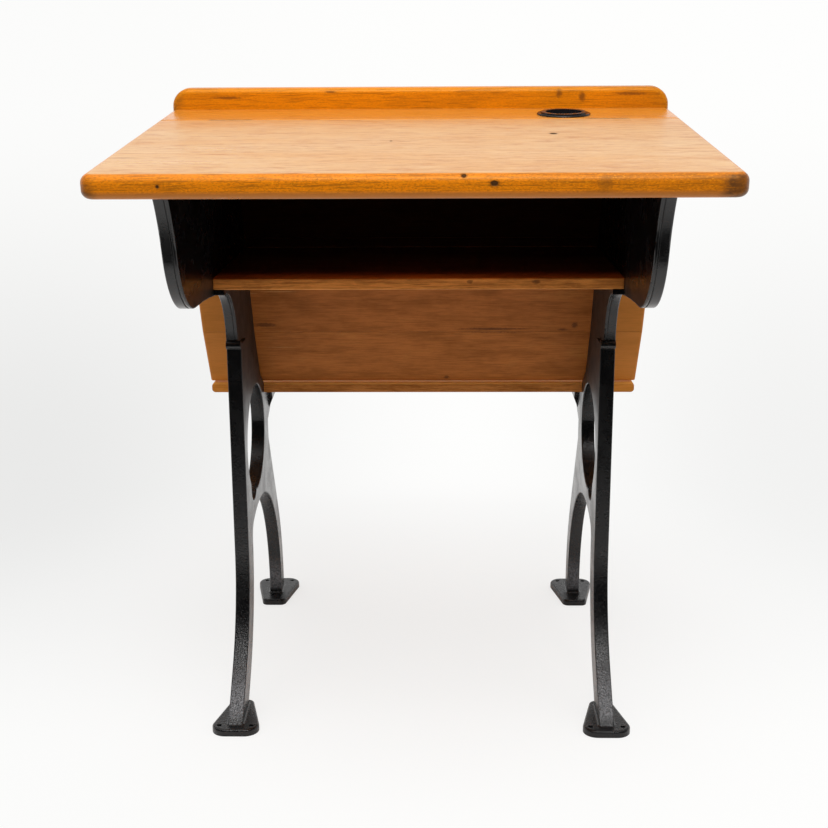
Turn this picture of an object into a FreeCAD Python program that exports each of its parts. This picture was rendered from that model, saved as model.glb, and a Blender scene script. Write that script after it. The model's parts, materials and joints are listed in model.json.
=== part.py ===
import FreeCAD, Part
import math
import os
import Sketcher
from FreeCAD import Placement, Rotation, Vector

# Cast-iron and wood school desk.  X runs left to right, Y from the pupil towards the folding seat,
# Z up.  Heights are above the floor, and every *_y size is measured back from the desk's front edge.
# Millimetres and degrees.
SIZES = [
    # desk top: lid, fixed strip behind it and back rail
    ("top_width", 620, "length of lid and strip"),
    ("top_front_z", 737, "height of the top surface at its front edge"),
    ("top_slope", 5.43, "slope of the top"),
    ("top_thickness", 24, "thickness of the strip"),
    ("lid_length", 369.5, "lid from front edge to hinge joint, along the slope"),
    ("hinge_joint_gap", 1, "gap between lid and strip"),
    ("strip_length", 94.5, "fixed strip, along the slope"),
    ("lid_rest_gap", 0.3, "air between the closed lid and the standards"),
    ("nose_top_radius", 9, "rounding of the top's upper edges"),
    ("nose_bottom_radius", 8, "rounding of the top's lower edges"),
    ("corner_radius", 13, "rounding of the lid's corners in plan"),
    ("joint_chamfer", 2.4, "chamfer of both edges at the hinge joint"),
    ("rail_thickness", 22, "back rail, front to back"),
    ("rail_rise", 25, "back rail above the top"),
    ("rail_corner_radius", 22, "rounding of the rail's upper corners"),
    ("rail_end_inset", 2.5, "end of the strip to the end of the rail"),
    ("rail_round", 6, "rounding of the rail's upper edges"),
    ("batten_inset", 190, "end of the lid to a batten's near edge, across"),
    ("batten_width", 40, "width of a lid batten"),
    ("batten_thickness", 16, "thickness of a lid batten"),
    ("batten_length", 220, "length of a lid batten"),
    ("batten_start", 105, "front edge of the lid to a batten"),
    # butt hinges let into the joint
    ("hinge_inset", 88, "end of the lid to the middle of a hinge"),
    ("hinge_length", 50, "length of a hinge"),
    ("leaf_thickness", 1.5, "hinge leaf"),
    ("leaf_height", 18, "hinge leaf below its knuckles"),
    ("knuckle_radius", 2.4, "outside of the hinge knuckle"),
    ("hinge_pin_radius", 1.2, "hinge pin"),
    ("hinge_pin_depth", 2.5, "hinge pin below the top surface"),
    ("knuckle_room", 0.5, "air around the knuckles"),
    ("running_fit", 0.05, "radial clearance of a turning pin"),
    ("hinge_screw_radius", 1.5, "hinge screw shank"),
    ("hinge_screw_head", 2.8, "hinge screw head"),
    ("hinge_screw_length", 15, "hinge screw"),
    ("hinge_screw_pitch", 17, "between the screws of a leaf"),
    # inkwell
    ("ink_inset", 137, "right-hand end of the strip to the inkwell"),
    ("ink_setback", 36, "inkwell behind the strip's front edge"),
    ("ring_radius", 32, "flange of the inkwell ring"),
    ("ring_rise", 2, "flange above the strip"),
    ("ring_neck_radius", 27, "neck of the ring, in the strip"),
    ("ring_neck_depth", 20, "neck below the strip's surface"),
    ("ring_bore_radius", 24, "bore of the ring"),
    ("cup_gap", 0.4, "air between cup and ring"),
    ("cup_wall", 2, "wall of the cup"),
    ("cup_depth", 38, "cup below its rim"),
    ("cup_rim_radius", 27, "rim of the cup"),
    ("cup_rim_thickness", 1.5, "rim of the cup"),
    # standards
    ("side_overhang", 61, "desk top beyond a standard's outer face"),
    ("side_thickness", 15, "side plate and arm of a standard"),
    ("leg_thickness", 19, "legs of a standard"),
    ("corbel_front_y", 33, "front of the side plate, under the lid"),
    ("corbel_waist_y", 67, "where the corbel's curve turns over"),
    ("corbel_waist_z", 655, "where the corbel's curve turns over"),
    ("corbel_waist_lean", 18, "lean of the corbel's edge there"),
    ("bulb_radius", 101, "round bottom of the corbel"),
    ("leg_ahead", 157, "front leg's front face, ahead of the bend in the back"),
    ("throat_radius", 82, "curve from side plate to front leg"),
    ("throat_reach", 1500, "long shallow curve between the corbel's bottom and the throat"),
    ("throat_z", 484, "where the throat meets the leg"),
    ("collar_z", 487, "collar on the front leg"),
    ("collar_radius", 5.5, "collar bead"),
    ("leg_bend_z", 200, "where the front leg starts to bend"),
    ("leg_bend_radius", 190, "front of the leg's bend"),
    ("leg_bend_angle", 45, "turn of the leg's bend"),
    ("leg_depth", 43, "front leg, front to back"),
    ("arch_ahead", 35, "centre of the arch between the legs, ahead of the bend"),
    ("arch_z", 20, "centre of the arch between the legs"),
    ("arch_radius", 218, "arch between the legs"),
    ("arch_fillet", 22, "arch to the front leg"),
    ("rear_leg_depth", 32, "rear leg, front to back"),
    ("rear_leg_turn", 33, "angle up the arch where the rear leg runs straight"),
    ("opening_ahead", 46, "centre of the oval opening, ahead of the bend"),
    ("opening_z", 334, "centre of the oval opening"),
    ("opening_half_length", 86, "oval opening, half its length"),
    ("opening_half_height", 73, "oval opening, half its height"),
    ("lobe_ahead", 83, "small lobe of the opening, ahead of the bend"),
    ("lobe_z", 282, "small lobe of the opening"),
    ("lobe_radius", 27, "small lobe of the opening"),
    ("lobe_blend", 6, "blend between oval and lobe"),
    ("edge_round", 1.5, "rounding of the castings' edges"),
    ("groove_width", 1.4, "line cast round the side plate's edge"),
    ("groove_depth", 1.2, "line cast round the side plate's edge"),
    ("groove_inset", 3.2, "line cast round the edge, from the inner face"),
    ("panel_margin", 11, "raised border on the side plate's outer face"),
    ("panel_depth", 4, "sunk panel of the side plate's outer face"),
    ("lug_root_z", 300, "where the seat lug leaves the rear edge"),
    ("stop_length", 18, "seat stop behind the pivot"),
    ("stop_height", 14, "height of the seat stop"),
    ("stop_gap", 0.3, "air between the seat arm and its stop"),
    ("top_flange_width", 28, "flange under the strip"),
    ("top_flange_thickness", 6, "flange under the strip"),
    ("top_flange_length", 70, "flange under the strip"),
    ("ledge_width", 13, "ledge under the shelf"),
    ("ledge_thickness", 6, "ledge under the shelf"),
    # feet
    ("foot_thickness", 9, "thickness of a foot"),
    ("foot_corner", 18, "rounding of a foot's wide corners"),
    ("foot_tip_corner", 9, "rounding of a foot's narrow corners"),
    ("foot_edge", 3, "rounding of a foot's upper edge"),
    ("front_foot_ahead", 282, "front foot's front edge, ahead of the bend"),
    ("front_foot_length", 88, "front foot"),
    ("front_foot_width", 70, "wide end of the front foot"),
    ("front_foot_tip", 28, "narrow end of the front foot"),
    ("rear_foot_behind", 248, "rear foot's rear edge, behind the bend"),
    ("rear_foot_length", 96, "rear foot"),
    ("rear_foot_width", 73, "wide end of the rear foot"),
    ("rear_foot_tip", 34, "narrow end of the rear foot"),
    ("floor_hole_radius", 3.2, "floor screw holes"),
    ("floor_hole_pitch", 41, "floor screw holes of a foot"),
    ("floor_hole_inset", 13, "floor screw holes from the foot's wide edge"),
    ("ankle_round", 3, "fillet between a leg and its foot"),
    # book box shelf
    ("shelf_front_y", 270, "front edge of the shelf"),
    ("shelf_top_z", 599, "upper face of the shelf"),
    ("shelf_thickness", 13, "shelf"),
    ("shelf_round", 1.5, "rounding of the shelf's front edges"),
    ("board_fit", 0.3, "air at the ends of the shelf"),
    # back boards
    ("bend_setback", 135.1, "bend of the back boards, behind the back rail's front"),
    ("bend_drop", 264, "bend of the back boards, below the top's front edge"),
    ("back_lean", 24.6, "lean of the upper back boards"),
    ("lower_back_lean", 32.9, "lean of the lower back board"),
    ("back_thickness", 18, "back boards"),
    ("back_end_inset", 3, "end of the desk top to the end of a back board, across"),
    ("back_joint", 0.2, "joint between the back boards"),
    ("lower_back_width", 94.7, "lower back board"),
    ("back_edge_round", 3, "rounding of the back boards' free edges"),
    # seat
    ("seat_top_z", 389, "seat height"),
    ("seat_end_inset", 5, "end of the desk top to the end of a seat board, across"),
    ("seat_thickness", 14, "seat boards"),
    ("seat_rail_behind", 47, "fixed rail behind the bend"),
    ("seat_rail_width", 45, "fixed rail behind the seat"),
    ("seat_hinge_gap", 0.8, "gap between rail and folding seat"),
    ("seat_board_width", 86, "each folding seat board"),
    ("seat_board_gap", 1, "between the seat boards"),
    ("seat_edge_round", 5, "rounding of the seat's free edges"),
    ("seat_corner_radius", 14, "rounding of the seat's front corners"),
    ("seat_arm_thickness", 5, "iron arm under the seat"),
    ("seat_arm_gap", 0.5, "air between arm and standard"),
    ("seat_arm_depth", 21.5, "arm below the seat at its root"),
    ("seat_arm_tip_depth", 9, "arm below the seat at its tip"),
    ("seat_arm_length", 240, "arm from pivot to tip"),
    ("seat_flange_width", 22, "flange of the arm under the boards"),
    ("seat_flange_thickness", 5, "flange of the arm under the boards"),
    ("pivot_radius", 3.5, "seat pivot bolt"),
    ("pivot_head_radius", 7, "seat pivot bolt head"),
    ("pivot_head_height", 4, "seat pivot bolt head"),
    ("nut_across", 12, "square nut of the seat pivot"),
    ("nut_thickness", 5, "square nut of the seat pivot"),
    ("washer_radius", 7, "washer under the nut"),
    ("washer_thickness", 1, "washer under the nut"),
    ("notch_room", 6.5, "notch in the seat board in front of its hinge"),
    # screws
    ("screw_radius", 2.2, "wood screw shank"),
    ("screw_head_radius", 4.4, "screw head"),
    ("screw_head_height", 2.4, "screw head"),
    ("back_screw_radius", 2.5, "back board screw shank"),
    ("back_screw_head", 5, "back board screw head"),
    ("iron_bite", 12, "depth of a back board screw in the iron"),
    ("wood_bite", 10, "depth of a screw in the wood"),
    ("hole_fit", 0.1, "radial clearance of a screw"),
]

# Places that follow from the sizes.
PLACES = [
    ("standard_outer_x", "top_width / 2 - side_overhang"),
    ("hinge_x", "top_width / 2 - hinge_inset"),
    ("ink_x", "top_width / 2 - ink_inset"),
    ("batten_x", "top_width / 2 - batten_inset"),
    ("strip_u", "lid_length + hinge_joint_gap"),
    ("hinge_u", "lid_length + hinge_joint_gap / 2"),
    ("deck_u", "strip_u + strip_length"),
    ("bend_y", "deck_u * cos(top_slope) + bend_setback"),
    ("bend_z", "top_front_z - bend_drop"),
    ("leg_front_y", "bend_y - leg_ahead"),
    ("arch_y", "bend_y - arch_ahead"),
    ("opening_y", "bend_y - opening_ahead"),
    ("lobe_y", "bend_y - lobe_ahead"),
    ("front_foot_y", "bend_y - front_foot_ahead"),
    ("rear_foot_y", "bend_y + rear_foot_behind"),
    ("seat_rail_y", "bend_y + seat_rail_behind"),
    ("pivot_rel", "seat_rail_y + seat_rail_width + seat_hinge_gap + seat_thickness / 2"),
    ("seat_front_rel", "pivot_rel + 3 * seat_board_width + 2 * seat_board_gap"),
    ("nose_rel", "nose_top_radius * (cos(top_slope) + sin(top_slope) - 1)"),
    ("front_y", "-(seat_front_rel + nose_rel) / 2"),
    ("pivot_y", "front_y + pivot_rel"),
    ("pivot_z", "seat_top_z - seat_thickness / 2"),
    ("side_inner_x", "standard_outer_x - side_thickness"),
    ("leg_inner_x", "standard_outer_x - leg_thickness"),
    ("leg_middle_x", "standard_outer_x - leg_thickness / 2"),
    ("board_screw_x", "standard_outer_x - side_thickness / 2"),
    ("under_z", "top_front_z - top_thickness / cos(top_slope)"),
    ("back_foot_s", "back_thickness * tan(lower_back_lean - back_lean) + back_joint"),
    ("back_top_s", "(under_z + tan(top_slope) * (bend_y + back_thickness * cos(back_lean)) - bend_z"
                   " - back_thickness * sin(back_lean) - back_joint)"
                   " / (cos(back_lean) + tan(top_slope) * sin(back_lean))"),
    ("back_board_width", "(back_top_s - back_joint) / 2"),
    ("lower_end_s", "back_foot_s + lower_back_width"),
    ("seat_under_z", "seat_top_z - seat_thickness"),
    ("stop_top_z", "seat_under_z - seat_arm_depth - stop_gap"),
    ("arm_outer_x", "leg_inner_x - seat_arm_gap"),
    ("arm_inner_x", "arm_outer_x - seat_arm_thickness"),
    ("seat_screw_x", "arm_inner_x - seat_flange_width / 2"),
    ("shelf_under_z", "shelf_top_z - shelf_thickness"),
    ("shelf_rear_y", "bend_y - (shelf_top_z - bend_z) * tan(back_lean) - back_joint"),
    ("ledge_screw_x", "side_inner_x - ledge_width / 2"),
    ("top_flange_x", "side_inner_x - top_flange_width / 2"),
    ("top_flange_u", "strip_u + (strip_length - top_flange_length) / 2"),
]

doc = FreeCAD.newDocument("SchoolDesk")
sheet = doc.addObject("Spreadsheet::Sheet", "Sizes")
for row, (alias, number, meaning) in enumerate(SIZES, start=1):
    sheet.set("A%d" % row, meaning)
    sheet.set("B%d" % row, str(number))
    sheet.setAlias("B%d" % row, alias)
doc.recompute()

ALIASES = {alias for alias, number, meaning in SIZES}
DERIVED = {name for name, rule in PLACES}


def bound(rule):
    """A rule in plain names, with each name pointed at the sheet or at the derived places."""
    words = []
    word = ""
    for letter in rule + " ":
        if letter.isalnum() or letter == "_":
            word += letter
            continue
        if word in ALIASES:
            word = "Sizes." + word
        elif word in DERIVED:
            word = "Places." + word
        words.append(word + letter)
        word = ""
    return "".join(words).strip()


places = doc.addObject("App::VarSet", "Places")
for name, rule in PLACES:
    places.addProperty("App::PropertyFloat", name, "Places")
    places.setExpression(name, bound(rule))
    doc.recompute()


def value(rule):
    """The number that a rule gives now."""
    number = sheet.evalExpression(bound(rule))
    return float(getattr(number, "Value", number))


# Frames: where local u (Y), w (Z) start and how far they are turned about X.
FRAMES = {
    "floor": ("front_y", "0", "0"),
    "deck": ("front_y", "top_front_z", "top_slope"),
    "back": ("front_y + bend_y", "bend_z", "90 + back_lean"),
    "lower_back": ("front_y + bend_y", "bend_z", "90 + lower_back_lean"),
    "seat": ("pivot_y", "pivot_z", "0"),
}


def place(thing, frame, x="0", u="0", w="0"):
    """Bind an object's Placement to a point of a frame."""
    start_y, start_z, turn = FRAMES[frame]
    thing.Placement = Placement(Vector(0, 0, 0), Rotation(Vector(1, 0, 0), max(value(turn), 1)))
    thing.setExpression("Placement.Rotation.Angle", bound(turn))
    thing.setExpression("Placement.Base.x", bound(x))
    thing.setExpression("Placement.Base.y", bound(f"{start_y} + ({u}) * cos({turn}) - ({w}) * sin({turn})"))
    thing.setExpression("Placement.Base.z", bound(f"{start_z} + ({u}) * sin({turn}) + ({w}) * cos({turn})"))


def new_body(label, frame, x="0", u="0", w="0"):
    body = doc.addObject("PartDesign::Body", "Body")
    body.Label = label
    body.AllowCompound = True
    place(body, frame, x, u, w)
    return body


def datum(body, role):
    return [feature for feature in body.Origin.OriginFeatures if feature.Role == role][0]


def new_sketch(body, role, offset_x=None, offset_z=None):
    sketch = body.newObject("Sketcher::SketchObject", "Outline")
    sketch.AttachmentSupport = [(datum(body, role), "")]
    sketch.MapMode = "FlatFace"
    if offset_x:
        sketch.setExpression("AttachmentOffset.Base.x", bound(offset_x))
    if offset_z:
        sketch.setExpression("AttachmentOffset.Base.z", bound(offset_z))
    return sketch


def pin_down(sketch, kind, geometry, point, rule):
    """Dimension one coordinate of a sketch point from the origin."""
    number = value(rule)
    axis = {"DistanceX": -2, "DistanceY": -1}[kind]
    if abs(number) < 1e-9:
        sketch.addConstraint(Sketcher.Constraint("PointOnObject", geometry, point, axis))
        return
    index = sketch.addConstraint(Sketcher.Constraint(kind, -1, 1, geometry, point, number))
    sketch.setExpression("Constraints[%d]" % index, bound(rule))


def polygon(sketch, corners):
    """Closed straight-sided outline; corners are pairs of rules."""
    spots = [Vector(value(across), value(up), 0) for across, up in corners]
    count = len(spots)
    for index, spot in enumerate(spots):
        sketch.addGeometry(Part.LineSegment(spot, spots[(index + 1) % count]), False)
    for index in range(count):
        sketch.addConstraint(Sketcher.Constraint("Coincident", index, 2, (index + 1) % count, 1))
    for index, (across, up) in enumerate(corners):
        pin_down(sketch, "DistanceX", index, 1, across)
        pin_down(sketch, "DistanceY", index, 1, up)


def rectangle(sketch, left, right, low, high):
    polygon(sketch, [(left, low), (right, low), (right, high), (left, high)])


def circle(sketch, across, up, radius):
    spot = Vector(value(across), value(up), 0)
    index = sketch.addGeometry(Part.Circle(spot, Vector(0, 0, 1), value(radius)), False)
    pin_down(sketch, "DistanceX", index, 3, across)
    pin_down(sketch, "DistanceY", index, 3, up)
    size = sketch.addConstraint(Sketcher.Constraint("Radius", index, value(radius)))
    sketch.setExpression("Constraints[%d]" % size, bound(radius))


def pad(body, sketch, length, side="Symmetric"):
    feature = body.newObject("PartDesign::Pad", "Pad")
    feature.Profile = sketch
    feature.SideType = side
    feature.setExpression("Length", bound(length))
    return feature


def through(body, sketch):
    """Cut a sketch right through, both ways."""
    feature = body.newObject("PartDesign::Pocket", "Pocket")
    feature.Profile = sketch
    feature.SideType = "Symmetric"
    feature.Type = "ThroughAll"
    return feature


def spin(body, sketch):
    feature = body.newObject("PartDesign::Revolution", "Revolution")
    feature.Profile = sketch
    feature.ReferenceAxis = (sketch, ["V_Axis"])
    feature.Angle = 360
    return feature


def dress(body, kind, size, test):
    """Fillet or chamfer the edges of the body's tip whose middle and direction pass a test."""
    doc.recompute()
    base = body.Tip
    names = []
    for index, edge in enumerate(base.Shape.Edges, start=1):
        middle = edge.valueAt((edge.FirstParameter + edge.LastParameter) / 2)
        ends = [vertex.Point for vertex in edge.Vertexes]
        span = ends[-1] - ends[0]
        if test(middle, span):
            names.append("Edge%d" % index)
    feature = body.newObject("PartDesign::" + kind, kind)
    feature.Base = (base, names)
    feature.setExpression("Radius" if kind == "Fillet" else "Size", bound(size))
    body.Tip = feature
    doc.recompute()
    return feature


def along(span, axis):
    return span.Length > 1e-6 and abs(abs(span.normalize()[axis]) - 1) < 1e-6


def near(number, rule):
    return abs(number - value(rule)) < 0.01


def board(label, frame, low_u, high_u, low_w, high_w, length="top_width", mitre_u=None):
    """Plank along X; mitre_u is where its high_w face ends if the high_u end is not square."""
    body = new_body(label, frame)
    section = new_sketch(body, "YZ_Plane")
    polygon(section, [(low_u, low_w), (high_u, low_w), (mitre_u or high_u, high_w), (low_u, high_w)])
    pad(body, section, length)
    doc.recompute()
    return body


def block(label, frame, low_x, low_u, low_w, size_x, size_u, size_w):
    box = doc.addObject("Part::Box", "Box")
    box.Label = label
    box.setExpression("Length", bound(size_x))
    box.setExpression("Width", bound(size_u))
    box.setExpression("Height", bound(size_w))
    place(box, frame, low_x, low_u, low_w)
    return box


def turned(label, frame, x, u, w, profile, heading, count=1, pitch="0", row="Y_Axis", mirrored=True):
    """Revolved pieces, such as screws: profile holds (radius, depth) rules, depth along the heading."""
    body = new_body(label, frame, "0", u, w)
    plane, sign = {"down": ("XZ_Plane", "-"), "up": ("XZ_Plane", ""),
                   "front": ("XY_Plane", "-"), "rear": ("XY_Plane", "")}[heading]
    sketch = new_sketch(body, plane, offset_x=x)
    polygon(sketch, [(radius, f"{sign}({depth})") for radius, depth in profile])
    single = spin(body, sketch)
    steps = []
    if count > 1 or mirrored:
        doc.recompute()
        group = body.newObject("PartDesign::MultiTransform", "Rows")
        group.Originals = [single]
        if count > 1:
            line = body.newObject("PartDesign::LinearPattern", "Line")
            line.Direction = (datum(body, row), [""])
            line.setExpression("Length", bound(f"({pitch}) * {count - 1}"))
            line.Occurrences = count
            steps.append(line)
        if mirrored:
            mirror = body.newObject("PartDesign::Mirrored", "Mirror")
            mirror.MirrorPlane = (datum(body, "YZ_Plane"), [""])
            steps.append(mirror)
        group.Transformations = steps
        body.Tip = group
    doc.recompute()
    return body


def sunk_head(shank, head, length, fit="0"):
    """Countersunk screw, its head flush at depth 0."""
    return [("0", "0"), (f"{head} + {fit}", "0"), (f"{shank} + {fit}", f"{head} - {shank}"),
            (f"{shank} + {fit}", f"{length} + {fit}"), ("0", f"{length} + {fit}")]


def round_head(shank, head, height, length):
    """Round-headed screw whose head stands on the surface at depth 0."""
    return [("0", f"-({height})"), (f"0.6 * {head}", f"-({height})"),
            (head, f"-0.3 * {height}"), (head, "0"),
            (shank, "0"), (shank, length), ("0", length)]


def plain_hole(radius, length):
    """Cutter for a round-headed screw."""
    return [("0", "0"), (f"{radius} + hole_fit", "0"), (f"{radius} + hole_fit", f"{length} + hole_fit"),
            ("0", f"{length} + hole_fit")]


def cut(label, base, tools):
    """Node made of a base with cutters taken out of it."""
    tool = tools[0]
    if len(tools) > 1:
        tool = doc.addObject("Part::Compound", "Cutters")
        tool.Links = tools
    result = doc.addObject("Part::Cut", "Cut")
    result.Label = label
    result.Base = base
    result.Tool = tool
    doc.recompute()
    return result


def fuse(label, pieces):
    result = doc.addObject("Part::MultiFuse", "Fuse")
    result.Label = label
    result.Shapes = pieces
    doc.recompute()
    return result


def mirrored(label, source):
    """Left-hand copy of a right-hand piece."""
    result = doc.addObject("Part::Mirroring", "Mirrored")
    result.Label = label
    result.Source = source
    result.Normal = Vector(1, 0, 0)
    doc.recompute()
    return result


# ---- screws and their cutters ------------------------------------------------------------------

def strip_screws():
    """Up through the standards' flanges into the strip."""
    spot = ("deck", "top_flange_x", "top_flange_u + top_flange_length / 4",
            "-(top_thickness + top_flange_thickness)")
    length = "top_flange_thickness + wood_bite"
    style = dict(heading="up", count=2, pitch="top_flange_length / 2")
    screws = turned("strip_screws", *spot, round_head("screw_radius", "screw_head_radius",
                                                      "screw_head_height", length), **style)
    holes = turned("strip_screw_holes", *spot, plain_hole("screw_radius", length), **style)
    return screws, holes


def shelf_screws():
    """Up through the standards' ledges into the shelf."""
    start = "shelf_front_y + (shelf_rear_y - shelf_front_y) / 4"
    spot = ("floor", "ledge_screw_x", start, "shelf_under_z - ledge_thickness")
    length = "ledge_thickness + wood_bite"
    style = dict(heading="up", count=2, pitch="(shelf_rear_y - shelf_front_y) / 2")
    screws = turned("shelf_screws", *spot, round_head("screw_radius", "screw_head_radius",
                                                      "screw_head_height", length), **style)
    holes = turned("shelf_screw_holes", *spot, plain_hole("screw_radius", length), **style)
    return screws, holes


def back_screws(label, frame, first, pitch):
    """Through a back board into the arms, heads flush with the board's rear face."""
    length = "back_thickness + iron_bite"
    style = dict(heading="up", count=2, pitch=pitch)
    spot = (frame, "board_screw_x", first, "-back_thickness")
    screws = turned(label, *spot, sunk_head("back_screw_radius", "back_screw_head", length), **style)
    holes = turned(label + "_holes", *spot, sunk_head("back_screw_radius", "back_screw_head", length,
                                                      "hole_fit"), **style)
    return screws, holes


def rail_screws():
    """Through the back rail into the strip's rear edge."""
    spot = ("deck", "top_width / 10", "deck_u + rail_thickness", "-top_thickness / 2")
    length = "rail_thickness + 2 * wood_bite"
    style = dict(heading="front", count=3, pitch="top_width * 0.15", row="X_Axis")
    screws = turned("rail_screws", *spot, sunk_head("screw_radius", "screw_head_radius", length), **style)
    holes = turned("rail_screw_holes", *spot, sunk_head("screw_radius", "screw_head_radius", length,
                                                        "hole_fit"), **style)
    return screws, holes


def seat_rail_screws():
    """Down through the fixed seat rail into the standards."""
    spot = ("floor", "leg_middle_x", "seat_rail_y + seat_rail_width * 0.3", "seat_top_z")
    length = "seat_thickness + iron_bite"
    style = dict(heading="down", count=2, pitch="seat_rail_width * 0.4")
    screws = turned("seat_rail_screws", *spot, sunk_head("screw_radius", "screw_head_radius", length),
                    **style)
    holes = turned("seat_rail_screw_holes", *spot, sunk_head("screw_radius", "screw_head_radius", length,
                                                             "hole_fit"), **style)
    return screws, holes


def seat_screws():
    """Up through the arms' flanges, two into each folding board on each side."""
    step = "seat_board_width + seat_board_gap"
    length = "seat_flange_thickness + wood_bite"
    low = "-(seat_thickness / 2 + seat_flange_thickness)"
    style = dict(heading="up", count=3, pitch=step)
    sets = []
    for part, share in (("rear", "0.3"), ("front", "0.7")):
        spot = ("seat", "seat_screw_x", f"seat_board_width * {share}", low)
        head = round_head("screw_radius", "screw_head_radius", "screw_head_height", length)
        sets.append(turned("seat_screw_row_" + part, *spot, head, **style))
        sets.append(turned("seat_screw_holes_" + part, *spot, plain_hole("screw_radius", length), **style))
    screws = doc.addObject("Part::Compound", "SeatScrews")
    screws.Label = "seat_screws"
    screws.Links = sets[0::2]
    doc.recompute()
    return screws, sets[1::2]


def batten_screws():
    """Up through the battens into the lid."""
    spot = ("deck", "batten_x + batten_width / 2", "batten_start + batten_length / 8",
            "-(top_thickness - lid_rest_gap + batten_thickness)")
    length = "batten_thickness + wood_bite"
    style = dict(heading="up", count=3, pitch="batten_length * 3 / 8")
    screws = turned("batten_screws", *spot, round_head("screw_radius", "screw_head_radius",
                                                       "screw_head_height", length), **style)
    holes = turned("batten_screw_holes", *spot, plain_hole("screw_radius", length), **style)
    return screws, holes


def hinge_screws(label, face, heading):
    """Three countersunk screws in each leaf, into the edge of the lid or the strip."""
    spot = ("deck", "hinge_x - hinge_screw_pitch", face, "-(hinge_pin_depth + leaf_height / 2)")
    style = dict(heading=heading, count=3, pitch="hinge_screw_pitch", row="X_Axis")
    screws = turned(label, *spot, sunk_head("hinge_screw_radius", "hinge_screw_head",
                                            "hinge_screw_length"), **style)
    holes = turned(label + "_holes", *spot, sunk_head("hinge_screw_radius", "hinge_screw_head",
                                                      "hinge_screw_length", "hole_fit"), **style)
    return screws, holes


# ---- butt hinges -------------------------------------------------------------------------------

def hinge_leaf(label, sign, toward_strip, holes):
    """Leaf with its knuckles, in a frame whose origin is on the hinge pin."""
    body = new_body(label, "deck", f"{sign} * hinge_x", "hinge_u", "-hinge_pin_depth")
    side = "" if toward_strip else "-"
    neck = "(knuckle_radius + knuckle_room)"
    section = new_sketch(body, "YZ_Plane")
    rectangle(section, f"{side}hinge_joint_gap / 2", f"{side}(hinge_joint_gap / 2 + leaf_thickness)",
              f"-{neck}", "-leaf_height")
    pad(body, section, "hinge_length")
    count, start = (3, "-2") if toward_strip else (2, "-1")
    knuckle = "hinge_length / 5"
    features = []
    for outline in ("neck", "round"):
        sketch = new_sketch(body, "YZ_Plane", offset_z=f"{start} * {knuckle}")
        if outline == "neck":
            rectangle(sketch, f"{side}hinge_joint_gap / 2", f"{side}(hinge_joint_gap / 2 + leaf_thickness)",
                      "0", f"-{neck} - leaf_thickness")
        else:
            circle(sketch, "0", "0", "knuckle_radius")
        features.append(pad(body, sketch, f"{knuckle} - 2 * running_fit"))
    doc.recompute()
    group = body.newObject("PartDesign::LinearPattern", "Knuckles")
    group.Originals = features
    group.Direction = (datum(body, "X_Axis"), [""])
    group.setExpression("Length", bound(f"2 * {knuckle} * {count - 1}"))
    group.Occurrences = count
    body.Tip = group
    doc.recompute()
    bore = new_sketch(body, "YZ_Plane")
    circle(bore, "0", "0", "hinge_pin_radius + running_fit")
    through(body, bore)
    doc.recompute()
    body.Label = label + "_blank"
    return cut(label, body, [holes])


def hinge_pin(label, sign):
    rod = doc.addObject("Part::Cylinder", "Pin")
    rod.Label = label
    rod.Placement = Placement(Vector(0, 0, 0), Rotation(Vector(0, 1, 0), 90))
    rod.setExpression("Radius", bound("hinge_pin_radius"))
    rod.setExpression("Height", bound("hinge_length"))
    rod.setExpression("Placement.Base.x", bound(f"{sign} * hinge_x - hinge_length / 2"))
    rod.setExpression("Placement.Base.y",
                      bound("front_y + hinge_u * cos(top_slope) + hinge_pin_depth * sin(top_slope)"))
    rod.setExpression("Placement.Base.z",
                      bound("top_front_z + hinge_u * sin(top_slope) - hinge_pin_depth * cos(top_slope)"))
    return rod


def hinge_mortises(label, sign, toward_strip):
    """Cut for the leaf and for the knuckles in the edge of the lid or the strip."""
    reach = "knuckle_radius + knuckle_room"
    low = "-(hinge_pin_depth + leaf_height + knuckle_room)"
    room = "hinge_length + 2 * running_fit"
    start_x = f"{sign} * hinge_x - ({room}) / 2"
    if toward_strip:
        leaf_u, knuckle_u = "strip_u", "strip_u"
        knuckle_size = f"{reach} - hinge_joint_gap / 2"
    else:
        leaf_u = "lid_length - leaf_thickness"
        knuckle_size = f"{reach} - hinge_joint_gap / 2"
        knuckle_u = f"lid_length - ({knuckle_size})"
    leaf = block(label + "_leaf", "deck", start_x, leaf_u, low, room, "leaf_thickness",
                 f"-({low})")
    knuckle = block(label + "_knuckle", "deck", start_x, knuckle_u, f"-hinge_pin_depth - ({reach})",
                    room, knuckle_size, f"hinge_pin_depth + {reach}")
    return [leaf, knuckle]


# ---- standards ---------------------------------------------------------------------------------

def spot(across, up):
    return Vector(0, across, up)


def heading(angle):
    """Unit direction, degrees up from +Y."""
    return spot(math.cos(math.radians(angle)), math.sin(math.radians(angle)))


def arc_ending(start, end, direction):
    """Arc from start to end that has the given direction at its end."""
    chord = start - end
    normal = Vector(0, -direction.z, direction.y)
    radius = chord.dot(chord) / (2 * normal.dot(chord))
    centre = end + normal * radius
    middle = (start + end) / 2 - centre
    return Part.Arc(start, centre + middle.normalize() * abs(radius), end).toShape()


def arc_about(centre, radius, first, last):
    """Arc about a centre between two angles."""
    points = [centre + heading(angle) * radius for angle in (first, (first + last) / 2, last)]
    return Part.Arc(*points).toShape(), points[0], points[2]


def line(start, end):
    return Part.LineSegment(start, end).toShape()


def chain(points):
    return [line(first, second) for first, second in zip(points, points[1:])]


def plate(face, low_x, high_x):
    solid = face.extrude(Vector(high_x - low_x, 0, 0))
    solid.translate(Vector(low_x, 0, 0))
    return solid


def deck_under(across):
    return spot(across, value("under_z") + math.tan(math.radians(value("top_slope"))) * across)


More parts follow.
